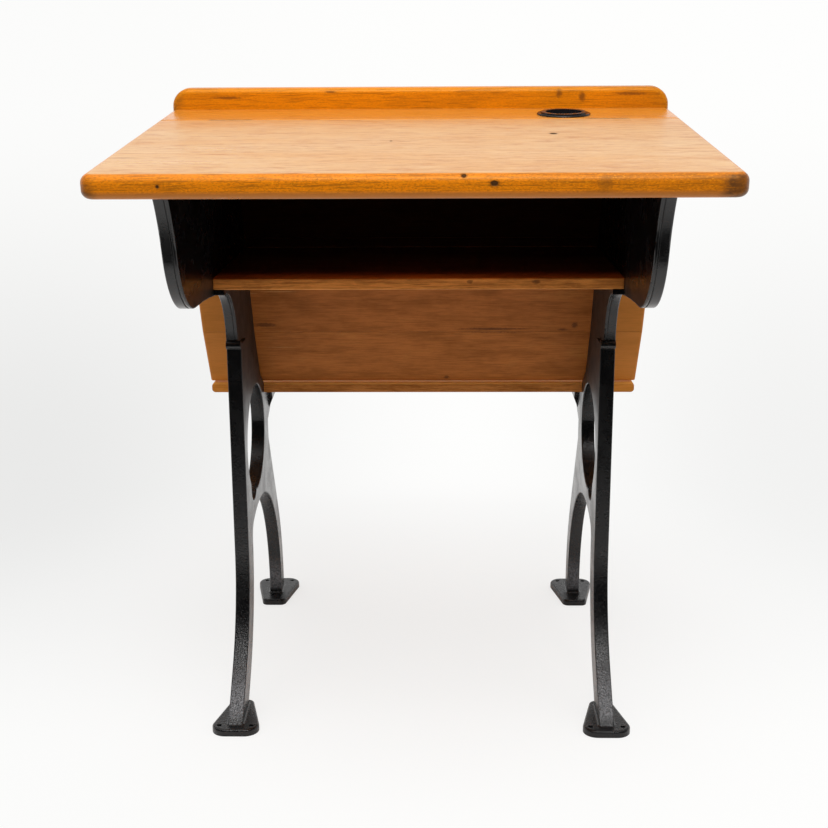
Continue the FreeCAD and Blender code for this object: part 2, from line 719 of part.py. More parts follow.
def back_line(distance):
    """Point on the front of the upper back boards, a distance up from the bend."""
    return spot(value("bend_y"), value("bend_z")) + heading(90 + value("back_lean")) * distance


def lower_back_line(distance):
    return spot(value("bend_y"), value("bend_z")) - heading(90 + value("lower_back_lean")) * distance


def back_line_top():
    """Where the upper back line meets the plane under the strip."""
    slope = math.tan(math.radians(value("top_slope")))
    lean = heading(90 + value("back_lean"))
    drop = value("under_z") + slope * value("bend_y") - value("bend_z")
    return back_line(drop / (lean.z - slope * lean.y))


def side_outline():
    """Side plate of the book box: corbel, round bottom, throat, and the arm down to the seat."""
    front = deck_under(value("corbel_front_y"))
    waist = spot(value("corbel_waist_y"), value("corbel_waist_z"))
    waist_heading = heading(value("corbel_waist_lean") - 90)
    bulb = value("bulb_radius")
    throat = value("throat_radius")
    bulb_centre = waist + heading(value("corbel_waist_lean")) * bulb
    throat_centre = spot(value("leg_front_y") - throat, value("throat_z"))
    reach = value("throat_reach")
    between = throat_centre - bulb_centre
    span, near_side, far_side = between.Length, reach + bulb, reach - throat
    corner = math.acos((span ** 2 + near_side ** 2 - far_side ** 2) / (2 * span * near_side))
    reach_heading = math.degrees(math.atan2(between.z, between.y) - corner)
    reach_centre = bulb_centre + heading(reach_heading) * near_side
    turn = math.degrees(math.atan2(throat_centre.z - reach_centre.z, throat_centre.y - reach_centre.y))
    bottom, bulb_start, bulb_end = arc_about(bulb_centre, bulb, 180 + value("corbel_waist_lean"),
                                             360 + reach_heading)
    shallow, shallow_start, shallow_end = arc_about(reach_centre, reach, 180 + reach_heading, turn)
    curve, throat_start, throat_end = arc_about(throat_centre, throat, turn, 0)
    low_z = value("collar_z") - value("leg_thickness")
    edges = [arc_ending(front, waist, waist_heading), bottom, shallow, curve]
    edges += chain([throat_end, spot(value("leg_front_y"), low_z), lower_back_line(value("lower_end_s")),
                    back_line(0), back_line_top(), front])
    return Part.Face(Part.Wire(edges))


def leg_outline():
    """Front leg, arch, rear leg, seat lug and the ledge of the seat rail."""
    buried = value("foot_thickness") / 2
    bend = value("leg_bend_angle")
    bend_centre = spot(value("leg_front_y") - value("leg_bend_radius"), value("leg_bend_z"))
    shin, shin_top, shin_foot = arc_about(bend_centre, value("leg_bend_radius"), 0, -bend)
    calf_radius = value("leg_bend_radius") + value("leg_depth")
    calf, calf_foot, calf_top = arc_about(bend_centre, calf_radius, -bend, 0)
    down = heading(-90 - bend)
    shin_end = shin_foot + down * ((buried - shin_foot.z) / down.z)
    calf_end = calf_foot + down * ((buried - calf_foot.z) / down.z)
    arch_centre = spot(value("arch_y"), value("arch_z"))
    fillet = value("arch_fillet")
    leg_rear = value("leg_front_y") + value("leg_depth")
    reach = arch_centre.y - leg_rear - fillet
    rise = math.sqrt((value("arch_radius") - fillet) ** 2 - reach ** 2)
    fillet_centre = spot(leg_rear + fillet, arch_centre.z + rise)
    lean = math.degrees(math.atan2(rise, -reach))
    crotch, crotch_start, crotch_end = arc_about(fillet_centre, fillet, 180, lean)
    inner_end = math.degrees(math.asin((buried - arch_centre.z) / value("arch_radius")))
    inner, inner_start, inner_foot = arc_about(arch_centre, value("arch_radius"), lean, inner_end)
    outer_radius = value("arch_radius") + value("rear_leg_depth")
    outer_end = math.degrees(math.asin((buried - arch_centre.z) / outer_radius))
    turn = value("rear_leg_turn")
    outer, outer_foot, outer_top = arc_about(arch_centre, outer_radius, outer_end, turn)
    up = heading(90 + turn)
    root = outer_top + up * ((value("lug_root_z") - outer_top.z) / up.z)
    pivot = spot(value("pivot_rel"), value("pivot_z"))
    lug = value("seat_thickness") / 2
    stop_top = value("stop_top_z")
    stop_end = pivot.y + value("stop_length")
    seat_under = value("seat_under_z")
    lug_round, lug_rear, lug_front = arc_about(pivot, lug, 0, 180)
    arm_end = lower_back_line(value("lower_end_s"))
    collar = value("collar_z")
    edges = [shin, line(shin_foot, shin_end), line(shin_end, calf_end), line(calf_end, calf_foot), calf]
    edges += [line(calf_top, crotch_start), crotch, inner, line(inner_foot, outer_foot), outer]
    edges += chain([outer_top, root, spot(root.y, stop_top - 2 * value("stop_height")),
                    spot(stop_end, stop_top - value("stop_height")), spot(stop_end, stop_top),
                    spot(lug_rear.y, stop_top + value("stop_height")), lug_rear])
    edges.append(lug_round)
    edges += chain([lug_front, spot(lug_front.y, seat_under), spot(value("seat_rail_y"), seat_under),
                    spot(value("seat_rail_y"), arm_end.z), spot(leg_rear, collar),
                    spot(value("leg_front_y"), collar), shin_top])
    return Part.Face(Part.Wire(edges))


def opening_cutter(low_x, high_x):
    """Oval with its small lobe."""
    oval = Part.Ellipse(spot(value("opening_y") + value("opening_half_length"), value("opening_z")),
                        spot(value("opening_y"), value("opening_z") + value("opening_half_height")),
                        spot(value("opening_y"), value("opening_z")))
    lobe = Part.Circle(spot(value("lobe_y"), value("lobe_z")), Vector(1, 0, 0), value("lobe_radius"))
    faces = [Part.Face(Part.Wire(curve.toShape())) for curve in (oval, lobe)]
    solids = [plate(face, low_x - 1, high_x + 1) for face in faces]
    cutter = solids[0].fuse(solids[1]).removeSplitter()
    cusps = [edge for edge in cutter.Edges if edge.BoundBox.YLength < 1e-6 and edge.BoundBox.ZLength < 1e-6
             and edge.BoundBox.YMin < value("opening_y") - 1]
    return cutter.makeFillet(value("lobe_blend"), cusps)


def softened(solid, low_x, high_x, shortest):
    """Round the long outline edges of an extruded plate."""
    edges = []
    for edge in solid.Edges:
        box = edge.BoundBox
        flat = box.XLength < 1e-6
        at_face = abs(box.XMin - low_x) < 1e-6 or abs(box.XMin - high_x) < 1e-6
        if flat and at_face and edge.Length > shortest:
            edges.append(edge)
    return solid.makeFillet(value("edge_round"), edges)


def ribbon(face, depth):
    """Band of a face along its outline."""
    return face.cut(face.makeOffset2D(-depth))


def foot(wide_y, length, width, tip, toward):
    """Floor pad; toward is the direction from its wide edge to its tip."""
    middle = value("leg_middle_x")
    tip_y = wide_y + toward * length
    corners = [Vector(middle - width / 2, wide_y, 0), Vector(middle + width / 2, wide_y, 0),
               Vector(middle + tip / 2, tip_y, 0), Vector(middle - tip / 2, tip_y, 0)]
    solid = Part.Face(Part.makePolygon(corners + corners[:1])).extrude(Vector(0, 0, value("foot_thickness")))
    for corner_y, radius in ((wide_y, value("foot_corner")), (tip_y, value("foot_tip_corner"))):
        upright = [edge for edge in solid.Edges if edge.BoundBox.ZLength > 1
                   and abs(edge.BoundBox.YMin - corner_y) < 0.01]
        solid = solid.makeFillet(radius, upright)
    rim = [edge for edge in solid.Edges if edge.BoundBox.ZMin > value("foot_thickness") - 1e-6]
    return solid.makeFillet(value("foot_edge"), rim)


def floor_holes(wide_y, toward):
    middle = value("leg_middle_x")
    across = value("floor_hole_pitch") / 2
    hole_y = wide_y + toward * value("floor_hole_inset")
    return [Part.makeCylinder(value("floor_hole_radius"), 3 * value("foot_thickness"),
                              Vector(middle + side * across, hole_y, -value("foot_thickness")))
            for side in (-1, 1)]


def with_feet(legs):
    """Legs joined to their feet, with a fillet where they meet."""
    level = value("foot_thickness")
    front = foot(value("front_foot_y"), value("front_foot_length"), value("front_foot_width"),
                 value("front_foot_tip"), 1)
    rear = foot(value("rear_foot_y"), value("rear_foot_length"), value("rear_foot_width"),
                value("rear_foot_tip"), -1)
    solid = legs.multiFuse([front, rear]).removeSplitter()
    half = value("leg_thickness") / 2 + 0.01
    tips = [value("front_foot_y") + value("front_foot_length") - value("foot_edge"),
            value("rear_foot_y") - value("rear_foot_length") + value("foot_edge")]
    meeting = []
    for edge in solid.Edges:
        box = edge.BoundBox
        flat = box.ZLength < 1e-4 and abs(box.ZMin - level) < 1e-4
        beside = max(box.XMax - value("leg_middle_x"), value("leg_middle_x") - box.XMin) < half
        at_tip = min(abs(edge.CenterOfMass.y - tip) for tip in tips) < 0.1
        if flat and beside and not at_tip:
            meeting.append(edge)
    return solid.makeFillet(value("ankle_round"), meeting)


def casting():
    """Right-hand standard, before its screw holes, in the floor frame."""
    outer = value("standard_outer_x")
    side_inner = value("side_inner_x")
    leg_inner = value("leg_inner_x")
    side_face = side_outline()
    side = softened(plate(side_face, side_inner, outer), side_inner, outer, 60)
    panel = plate(side_face.makeOffset2D(-value("panel_margin")), outer - value("panel_depth"), outer + 1)
    groove_x = side_inner + value("groove_inset")
    groove = plate(ribbon(side_face, value("groove_depth")), groove_x, groove_x + value("groove_width"))
    side = side.cut(panel).cut(groove)
    legs = plate(leg_outline(), leg_inner, outer)
    legs = softened(legs.cut(opening_cutter(leg_inner, outer)), leg_inner, outer, 60)
    legs = with_feet(legs)
    collar = Part.makeCylinder(value("collar_radius"), value("leg_thickness"),
                               Vector(leg_inner, value("leg_front_y"), value("collar_z")), Vector(1, 0, 0))
    arm_gap_x = value("arm_inner_x")
    stop_top = value("stop_top_z")
    stop_low = stop_top - value("stop_height")
    gusset = Part.makePolygon([Vector(arm_gap_x, value("pivot_rel"), stop_top),
                               Vector(leg_inner + 1, value("pivot_rel"), stop_top),
                               Vector(leg_inner + 1, value("pivot_rel"), stop_low),
                               Vector(leg_inner, value("pivot_rel"), stop_low),
                               Vector(arm_gap_x, value("pivot_rel"), stop_top)])
    stop = Part.Face(gusset).extrude(Vector(0, value("stop_length"), 0))
    ledge = Part.makeBox(value("ledge_width") + 1, value("shelf_rear_y") - value("shelf_front_y"),
                         value("ledge_thickness"),
                         Vector(side_inner - value("ledge_width"), value("shelf_front_y"),
                                value("shelf_under_z") - value("ledge_thickness")))
    flange = Part.makeBox(value("top_flange_width") + 1, value("top_flange_length"),
                          value("top_flange_thickness"),
                          Vector(side_inner - value("top_flange_width"), value("top_flange_u"),
                                 -value("top_thickness") - value("top_flange_thickness")))
    flange.Placement = Placement(Vector(0, 0, value("top_front_z")),
                                 Rotation(Vector(1, 0, 0), value("top_slope"))).multiply(flange.Placement)
    solid = side.multiFuse([legs, collar, stop, ledge, flange]).removeSplitter()
    holes = floor_holes(value("front_foot_y"), 1) + floor_holes(value("rear_foot_y"), -1)
    pivot_hole = Part.makeCylinder(value("pivot_radius") + value("hole_fit"), value("leg_thickness") + 2,
                                   Vector(leg_inner - 1, value("pivot_rel"), value("pivot_z")),
                                   Vector(1, 0, 0))
    solid = solid.cut(Part.makeCompound(holes + [pivot_hole]))
    return solid.Solids[0] if len(solid.Solids) == 1 else solid


def standards(cutters):
    blank = doc.addObject("Part::Feature", "Casting")
    blank.Label = "standard_blank"
    blank.Shape = casting()
    place(blank, "floor")
    right = cut("right_standard", blank, cutters)
    return [mirrored("left_standard", right), right]


# ---- wood --------------------------------------------------------------------------------------

def lid(cutters):
    thickness = "top_thickness - lid_rest_gap"
    body = board("lid_blank", "deck", "0", "lid_length", f"-({thickness})", "0")
    half = value("top_width / 2")
    dress(body, "Fillet", "corner_radius", lambda middle, span: along(span, 2) and near(middle.y, "0"))
    dress(body, "Fillet", "nose_top_radius",
          lambda middle, span: near(middle.z, "0") and not near(middle.y, "lid_length"))
    dress(body, "Fillet", "nose_bottom_radius",
          lambda middle, span: near(middle.z, f"-({thickness})") and not near(middle.y, "lid_length"))
    dress(body, "Chamfer", "joint_chamfer",
          lambda middle, span: near(middle.z, "0") and near(middle.y, "lid_length") and abs(middle.x) < half)
    return cut("lid", body, cutters)


def strip(cutters):
    body = board("strip_blank", "deck", "strip_u", "deck_u", "-top_thickness", "0")
    edge_x = value("top_width / 2")
    for size, height in (("nose_top_radius", "0"), ("nose_bottom_radius", "-top_thickness")):
        dress(body, "Fillet", size, lambda middle, span: along(span, 1) and near(middle.z, height)
              and abs(abs(middle.x) - edge_x) < 0.01)
    dress(body, "Chamfer", "joint_chamfer",
          lambda middle, span: near(middle.z, "0") and near(middle.y, "strip_u"))
    bore = new_sketch(body, "XY_Plane")
    circle(bore, "ink_x", "strip_u + ink_setback", "ring_neck_radius")
    through(body, bore)
    doc.recompute()
    return cut("rear_strip", body, cutters)


def back_rail(cutters):
    body = board("rail_blank", "deck", "deck_u", "deck_u + rail_thickness", "-top_thickness", "rail_rise",
                 "top_width - 2 * rail_end_inset")
    dress(body, "Fillet", "rail_corner_radius",
          lambda middle, span: along(span, 1) and near(middle.z, "rail_rise"))
    dress(body, "Fillet", "rail_round", lambda middle, span: middle.z > 0 and not along(span, 1))
    return cut("back_rail", body, cutters)


def back_boards(cutters):
    """The lower board leans more; its top end is mitred to the end of the one above."""
    width = "back_board_width"
    rows = [("back_middle_board", "back", "0", width, None, cutters[1]),
            ("back_upper_board", "back", f"{width} + back_joint", "back_top_s", None, cutters[0]),
            ("back_lower_board", "lower_back", "-lower_end_s", "-back_foot_s", "-back_joint", cutters[2])]
    boards = []
    for label, frame, low, high, mitre, holes in rows:
        body = board(label + "_blank", frame, low, high, "-back_thickness", "0",
                     "top_width - 2 * back_end_inset", mitre)
        edge_x = value("top_width / 2 - back_end_inset")
        dress(body, "Fillet", "back_edge_round", lambda middle, span: along(span, 1)
              and abs(abs(middle.x) - edge_x) < 0.01)
        boards.append(cut(label, body, [holes]))
    return boards


def shelf(cutters):
    body = board("shelf_blank", "floor", "shelf_front_y", "shelf_rear_y", "shelf_under_z", "shelf_top_z",
                 "2 * (side_inner_x - board_fit)")
    dress(body, "Fillet", "shelf_round", lambda middle, span: along(span, 0)
          and near(middle.y, "shelf_front_y"))
    return cut("shelf", body, cutters)


def battens(holes):
    pieces = []
    for label, start in (("left_batten", "-batten_x - batten_width"), ("right_batten", "batten_x")):
        body = new_body(label + "_blank", "deck")
        outline = new_sketch(body, "XY_Plane", offset_z="-(top_thickness - lid_rest_gap + batten_thickness)")
        rectangle(outline, start, f"{start} + batten_width", "batten_start", "batten_start + batten_length")
        pad(body, outline, "batten_thickness", "One side")
        dress(body, "Chamfer", "batten_thickness / 4", lambda middle, span:
              near(middle.z, "-(top_thickness - lid_rest_gap + batten_thickness)") and along(span, 0))
        pieces.append(cut(label, body, [holes]))
    return pieces


def seat_boards(holes):
    """Fixed rail and three folding boards; the rear one turns about the pivot and is notched for it."""
    half = "seat_thickness / 2"
    length = "top_width - 2 * seat_end_inset"
    edge_x = value("top_width / 2 - seat_end_inset")
    rail = board("seat_rail_blank", "floor", "seat_rail_y", "seat_rail_y + seat_rail_width",
                 "seat_under_z", "seat_top_z", length)
    dress(rail, "Fillet", "seat_edge_round", lambda middle, span: near(middle.z, "seat_top_z")
          or (along(span, 1) and abs(abs(middle.x) - edge_x) < 0.01))
    step = "seat_board_width + seat_board_gap"
    nodes = [cut("seat_rail", rail, [holes["rail"]])]
    for index, label in enumerate(("seat_rear_board", "seat_middle_board", "seat_front_board")):
        start = f"{index} * ({step})" if index else f"-{half}"
        end = f"{index} * ({step}) + seat_board_width"
        body = board(label + "_blank", "seat", start, end, f"-{half}", half, length)
        cutters = list(holes["boards"])
        if index == 0:
            dress(body, "Fillet", f"{half} - 0.01", lambda middle, span: along(span, 0)
                  and near(middle.y, f"-{half}"))
            cutters += seat_notches()
        if index == 2:
            dress(body, "Fillet", "seat_corner_radius", lambda middle, span: along(span, 2)
                  and near(middle.y, end))
        dress(body, "Fillet", "seat_edge_round", lambda middle, span: near(middle.z, half)
              and ((along(span, 1) and abs(abs(middle.x) - edge_x) < 0.01)
                   or (index == 2 and middle.y > value(end) - value("seat_corner_radius") - 0.01)))
        nodes.append(cut(label, body, cutters))
    return nodes


def seat_notches():
    low_x = "arm_inner_x - washer_thickness - nut_thickness - 2 * seat_arm_gap - pivot_head_height"
    high_x = "standard_outer_x + pivot_head_height + pivot_radius"
    width = f"{high_x} - ({low_x})"
    behind = "seat_thickness"
    length = "1.5 * seat_thickness + notch_room"
    depth = "2 * seat_thickness"
    return [block("notch", "seat", start, f"-{behind}", "-seat_thickness", width, length, depth)
            for start in (low_x, f"-({high_x})")]


# ---- inkwell -----------------------------------------------------------------------------------

def inkwell():
    """Ring let into the strip, and the cup that lifts out of it."""
    neck = "ring_neck_radius - hole_fit"
    ring = turned("inkwell_ring", "deck", "ink_x", "strip_u + ink_setback", "0",
                  [("ring_bore_radius", "-ring_neck_depth"), (neck, "-ring_neck_depth"), (neck, "0"),
                   ("ring_radius", "0"), ("ring_radius", "ring_rise / 2"),
                   ("ring_radius - ring_rise / 2", "ring_rise"), ("ring_bore_radius", "ring_rise")],
                  "up", mirrored=False)
    outside = "ring_bore_radius - cup_gap"
    inside = f"{outside} - cup_wall"
    floor = "cup_wall - cup_depth"
    cup = turned("inkwell_cup", "deck", "ink_x", "strip_u + ink_setback", "ring_rise",
                 [("0", "-cup_depth"), (inside, "-cup_depth"), (outside, floor), (outside, "0"),
                  ("cup_rim_radius", "0"), ("cup_rim_radius", "cup_rim_thickness"),
                  (inside, "cup_rim_thickness"), (inside, floor), ("0", floor)],
                 "up", mirrored=False)
    return ring, cup


# ---- seat arms and pivots ----------------------------------------------------------------------

def seat_arm(holes):
    """Right-hand arm: eye, tapering beam and flange, turning about the seat pivot."""
    half = "seat_thickness / 2"
    body = new_body("seat_arm_blank", "seat", "arm_inner_x + seat_arm_thickness / 2")
    beam = new_sketch(body, "YZ_Plane")
    polygon(beam, [("seat_arm_length", f"-{half}"), ("seat_arm_length", f"-{half} - seat_arm_tip_depth"),
                   ("stop_length + seat_thickness", f"-{half} - seat_arm_depth"),
                   ("0", f"-{half} - seat_arm_depth"),
                   (f"-{half}", f"-{half} - seat_arm_depth / 2"), (f"-{half}", "0"), (half, "0"),
                   (half, f"-{half}")])
    pad(body, beam, "seat_arm_thickness")
    eye = new_sketch(body, "YZ_Plane")
    circle(eye, "0", "0", half)
    pad(body, eye, "seat_arm_thickness")
    doc.recompute()
    bore = new_sketch(body, "YZ_Plane")
    circle(bore, "0", "0", "pivot_radius + running_fit")
    through(body, bore)
    doc.recompute()
    flange = block("seat_flange", "seat", "arm_inner_x - seat_flange_width",
                   f"{half} + notch_room", f"-{half} - seat_flange_thickness",
                   "seat_flange_width + seat_arm_thickness / 2",
                   f"seat_arm_length - {half} - notch_room", "seat_flange_thickness")
    return cut("right_seat_arm", fuse("seat_arm_fused", [body, flange]), holes)


def pivots():
    """Pivot bolts with square nuts and washers, the right-hand ones mirrored to the left."""
    start = "arm_inner_x - seat_arm_gap - washer_thickness - nut_thickness"
    bolt = new_body("right_seat_pivot", "seat")
    section = new_sketch(bolt, "XY_Plane")
    polygon(section, [(start, "0"), (start, "pivot_radius"), ("standard_outer_x", "pivot_radius"),
                      ("standard_outer_x", "pivot_head_radius"),
                      ("standard_outer_x + pivot_head_height / 2", "pivot_head_radius"),
                      ("standard_outer_x + pivot_head_height", "pivot_head_radius / 2"),
                      ("standard_outer_x + pivot_head_height", "0")])
    feature = bolt.newObject("PartDesign::Revolution", "Revolution")
    feature.Profile = section
    feature.ReferenceAxis = (section, ["H_Axis"])
    feature.Angle = 360
    doc.recompute()
    nut = new_body("right_pivot_nut", "seat", f"{start}")
    square = new_sketch(nut, "YZ_Plane")
    rectangle(square, "-nut_across / 2", "nut_across / 2", "-nut_across / 2", "nut_across / 2")
    circle(square, "0", "0", "pivot_radius + hole_fit")
    pad(nut, square, "nut_thickness", "One side")
    washer = new_body("right_pivot_washer", "seat", f"{start} + nut_thickness")
    disc = new_sketch(washer, "YZ_Plane")
    circle(disc, "0", "0", "washer_radius")
    circle(disc, "0", "0", "pivot_radius + hole_fit")
    pad(washer, disc, "washer_thickness", "One side")
    doc.recompute()
    rights = [bolt, nut, washer]
    return rights + [mirrored(piece.Label.replace("right", "left"), piece) for piece in rights]


# ---- assembly ----------------------------------------------------------------------------------

strip_set, strip_holes = strip_screws()
shelf_set, shelf_holes = shelf_screws()
rail_set, rail_holes = rail_screws()
seat_rail_set, seat_rail_holes = seat_rail_screws()
seat_set, seat_holes = seat_screws()
batten_set, batten_holes = batten_screws()
upper_set, upper_holes = back_screws("back_upper_screws", "back",
                                     "back_board_width * 1.25 + back_joint", "back_board_width / 2")
middle_set, middle_holes = back_screws("back_middle_screws", "back", "back_board_width / 4",
                                       "back_board_width / 2")
lower_set, lower_holes = back_screws("back_lower_screws", "lower_back",
                                     "-lower_end_s + lower_back_width / 4", "lower_back_width / 2")
lid_hinge_set, lid_hinge_holes = hinge_screws("lid_hinge_screws", "lid_length", "front")
strip_hinge_set, strip_hinge_holes = hinge_screws("strip_hinge_screws", "strip_u", "rear")

nodes = standards([strip_holes, shelf_holes, seat_rail_holes, upper_holes, middle_holes, lower_holes])
lid_cutters = [batten_holes, lid_hinge_holes]
strip_cutters = [strip_holes, rail_holes, strip_hinge_holes]
for side_name, side_sign in (("left", "-1"), ("right", "1")):
    lid_cutters += hinge_mortises(side_name + "_lid_mortise", side_sign, False)
    strip_cutters += hinge_mortises(side_name + "_strip_mortise", side_sign, True)
    nodes.append(hinge_leaf(side_name + "_hinge_lid_leaf", side_sign, False, lid_hinge_holes))
    nodes.append(hinge_leaf(side_name + "_hinge_strip_leaf", side_sign, True, strip_hinge_holes))
    nodes.append(hinge_pin(side_name + "_hinge_pin", side_sign))
nodes.append(lid(lid_cutters))
nodes.append(strip(strip_cutters))
nodes.append(back_rail([rail_holes]))
nodes += back_boards([upper_holes, middle_holes, lower_holes])
nodes.append(shelf([shelf_holes]))
nodes += battens(batten_holes)
nodes += seat_boards({"rail": seat_rail_holes, "boards": seat_holes})
nodes += inkwell()
right_arm = seat_arm(seat_holes)
nodes += [right_arm, mirrored("left_seat_arm", right_arm)]
nodes += pivots()
nodes += [strip_set, shelf_set, rail_set, seat_rail_set, seat_set, batten_set]
nodes += [upper_set, middle_set, lower_set, lid_hinge_set, strip_hinge_set]

doc.recompute()
for thing in doc.Objects:
    if "Invalid" in thing.State or "Error" in thing.State:
        raise RuntimeError("%s (%s) failed: %s" % (thing.Name, thing.Label, thing.State))
os.makedirs("parts", exist_ok=True)
for node in nodes:
    if node.Shape.isNull() or not node.Shape.isValid() or not node.Shape.Solids:
        raise RuntimeError(node.Label + " has no valid solid")
    node.Shape.exportStep("parts/%s.step" % node.Label)
    print("%-24s %2d solid(s) %12.1f mm3" % (node.Label, len(node.Shape.Solids), node.Shape.Volume))
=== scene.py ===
import json
import math

import bpy
import numpy as np
from mathutils import Euler, Matrix, Vector


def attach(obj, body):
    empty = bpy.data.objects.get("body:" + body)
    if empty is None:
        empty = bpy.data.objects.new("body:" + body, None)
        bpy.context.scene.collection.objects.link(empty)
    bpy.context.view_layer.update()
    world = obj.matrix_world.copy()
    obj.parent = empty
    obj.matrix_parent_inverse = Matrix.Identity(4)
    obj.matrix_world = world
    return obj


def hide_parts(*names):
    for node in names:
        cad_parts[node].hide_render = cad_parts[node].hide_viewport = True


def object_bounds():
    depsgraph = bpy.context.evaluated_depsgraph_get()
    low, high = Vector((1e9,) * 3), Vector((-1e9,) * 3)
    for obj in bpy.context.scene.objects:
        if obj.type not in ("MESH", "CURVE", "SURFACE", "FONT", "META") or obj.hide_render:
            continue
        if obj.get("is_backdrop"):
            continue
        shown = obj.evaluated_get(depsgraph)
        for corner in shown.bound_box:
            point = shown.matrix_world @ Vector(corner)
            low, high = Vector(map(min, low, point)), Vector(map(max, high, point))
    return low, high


bl_info = {
    "name": "Lift-lid school desk",
    "version": (1, 0, 0),
    "blender": (4, 5, 0),
    "location": "3D View > Sidebar > Desk",
    "description": "Varnished boards, black castings and slotted screws of a lift-lid school desk",
    "category": "Object",
}

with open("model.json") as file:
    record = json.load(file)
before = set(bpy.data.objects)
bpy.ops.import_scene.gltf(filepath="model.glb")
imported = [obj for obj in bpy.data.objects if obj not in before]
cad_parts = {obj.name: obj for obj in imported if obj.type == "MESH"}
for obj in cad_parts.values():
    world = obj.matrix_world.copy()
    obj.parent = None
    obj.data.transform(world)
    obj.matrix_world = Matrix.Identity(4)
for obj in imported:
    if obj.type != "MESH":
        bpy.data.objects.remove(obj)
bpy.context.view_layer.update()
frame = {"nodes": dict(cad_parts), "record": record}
NODES = frame["nodes"]

# The grain of each board starts somewhere else: (along, across, through) in metres,
# and the heart of its log lies that far across and below the board's own origin.
TOP_BOARDS = {
    "lid": ((0.31, 0.07, 0.02), (0.3, -0.62)),
    "rear_strip": ((1.73, 0.41, 0.13), (0.16, -0.7)),
    "back_rail": ((3.17, 0.22, 0.31), (0.6, -0.55)),
}
BACK_BOARDS = {
    "back_upper_board": ((0.93, 0.35, 0.17), (0.5, 0.4)),
    "back_middle_board": ((2.21, 0.12, 0.43), (0.44, 0.36)),
    "back_lower_board": ((4.07, 0.55, 0.29), (0.42, 0.22)),
    "shelf": ((5.13, 0.31, 0.77), (0.1, 0.3)),
    "left_batten": ((6.37, 0.73, 0.11), (0.05, 0.6)),
    "right_batten": ((7.91, 0.19, 0.53), (-0.04, 0.62)),
    "seat_rail": ((8.47, 0.61, 0.37), (0.3, 0.2)),
    "seat_rear_board": ((9.23, 0.47, 0.91), (0.38, 0.15)),
    "seat_middle_board": ((10.61, 0.83, 0.59), (0.46, 0.1)),
    "seat_front_board": ((11.39, 0.29, 0.67), (0.58, 0.16)),
}

# Old nail and knot holes: centre and half size of each, in metres.
TOP_HOLES = {
    "lid": [
        ((-0.2358, -0.4793, 0.7263), (0.0018, 0.004, 0.0018)),
        ((0.0467, -0.478, 0.7355), (0.0028, 0.006, 0.0022)),
        ((0.0746, -0.4793, 0.7284), (0.0042, 0.004, 0.0031)),
        ((0.1484, -0.2301, 0.7607), (0.0042, 0.0052, 0.004)),
        ((-0.0269, -0.2789, 0.7561), (0.0016, 0.002, 0.003)),
    ],
}

# Stains, knots and cracks in the brown boards: centre and half size of each, in metres.
BOARD_MARKS = {
    "back_middle_board": [
        ((0.098, 0.1175, 0.4775), (0.057, 0.012, 0.0026)),
        ((0.212, 0.114, 0.483), (0.0055, 0.01, 0.006)),
        ((-0.218, 0.1137, 0.484), (0.02, 0.01, 0.0042)),
        ((0.196, 0.114, 0.476), (0.009, 0.01, 0.0026)),
    ],
    "back_lower_board": [
        ((0.098, 0.1175, 0.4735), (0.057, 0.012, 0.0026)),
        ((0.035, 0.165, 0.3965), (0.006, 0.012, 0.004)),
    ],
    "shelf": [
        ((0.0588, -0.209, 0.595), (0.0045, 0.006, 0.003)),
        ((0.1342, -0.209, 0.595), (0.0065, 0.006, 0.0036)),
    ],
}
BOARD_SCRATCHES = {
    "back_middle_board": [
        ((-0.196, 0.091, 0.5345), (0.036, 0.012, 0.0013)),
        ((-0.24, 0.09, 0.532), (0.02, 0.012, 0.001)),
    ],
    "back_lower_board": [((-0.196, 0.13, 0.4478), (0.04, 0.012, 0.0011))],
}
SHELF_TOP_Z = 0.599

# Where the lid meets the strip behind it, and the foot and the front of the lid's nose.
JOINT_Y = -0.1098
NOSE_LOW_Z = 0.7141
NOSE_Y = -0.4785

# Faint darker stains in the amber varnish: centre and half size, in metres.
TOP_STAINS = {
    "lid": [
        ((0.176, -0.4793, 0.729), (0.01, 0.006, 0.014)),
        ((0.305, -0.4793, 0.725), (0.016, 0.02, 0.016)),
        ((-0.305, -0.4793, 0.72), (0.013, 0.02, 0.01)),
        ((-0.2873, -0.382, 0.7463), (0.018, 0.004, 0.006)),
    ],
    "rear_strip": [((0.173, -0.02, 0.775), (0.06, 0.02, 0.01))],
    "back_rail": [
        ((0.172, -0.016, 0.799), (0.0055, 0.006, 0.0075)),
        ((0.2005, -0.016, 0.795), (0.006, 0.006, 0.009)),
        ((-0.238, -0.016, 0.795), (0.028, 0.006, 0.0025)),
        ((-0.11, -0.016, 0.8015), (0.01, 0.006, 0.0025)),
        ((0.26, -0.016, 0.798), (0.03, 0.006, 0.003)),
    ],
}

NOWHERE = (0.0, 0.0, 0.0)

# Where a mask begins and where it is full, in metres.
JOINT_BAND = (0.008, 0.005)
RIGHT_END_X = (0.277, 0.294)
LEFT_END_X = (-0.288, -0.308)
# The next four mark painted light and shade on the boards: lighter ends, shade in the box and on the
# shelf, and a highlight on the rail's lip.
LIT_ENDS_X = (0.246, 0.262)
BOX_SHADE_X = (0.248, 0.244)
SHELF_SHADE_Y = (-0.215, -0.15)
RAIL_HIGHLIGHT_Y = (0.188, 0.178)
ABOVE_FOOT_Z = (0.012, 0.02)
# These two mark where a painted highlight and painted glints go low on the legs.
ANKLE_HIGHLIGHT_Z = (0.08, 0.035)
GLINT_Z = (0.4, 0.02)
SKIN_Z = (0.5, 0.1)
MIDDLE_FROM_Z, MIDDLE_TO_Z = (0.36, 0.42), (0.62, 0.57)

# The rim of a hole, in hole sizes.
RIM = 1.7

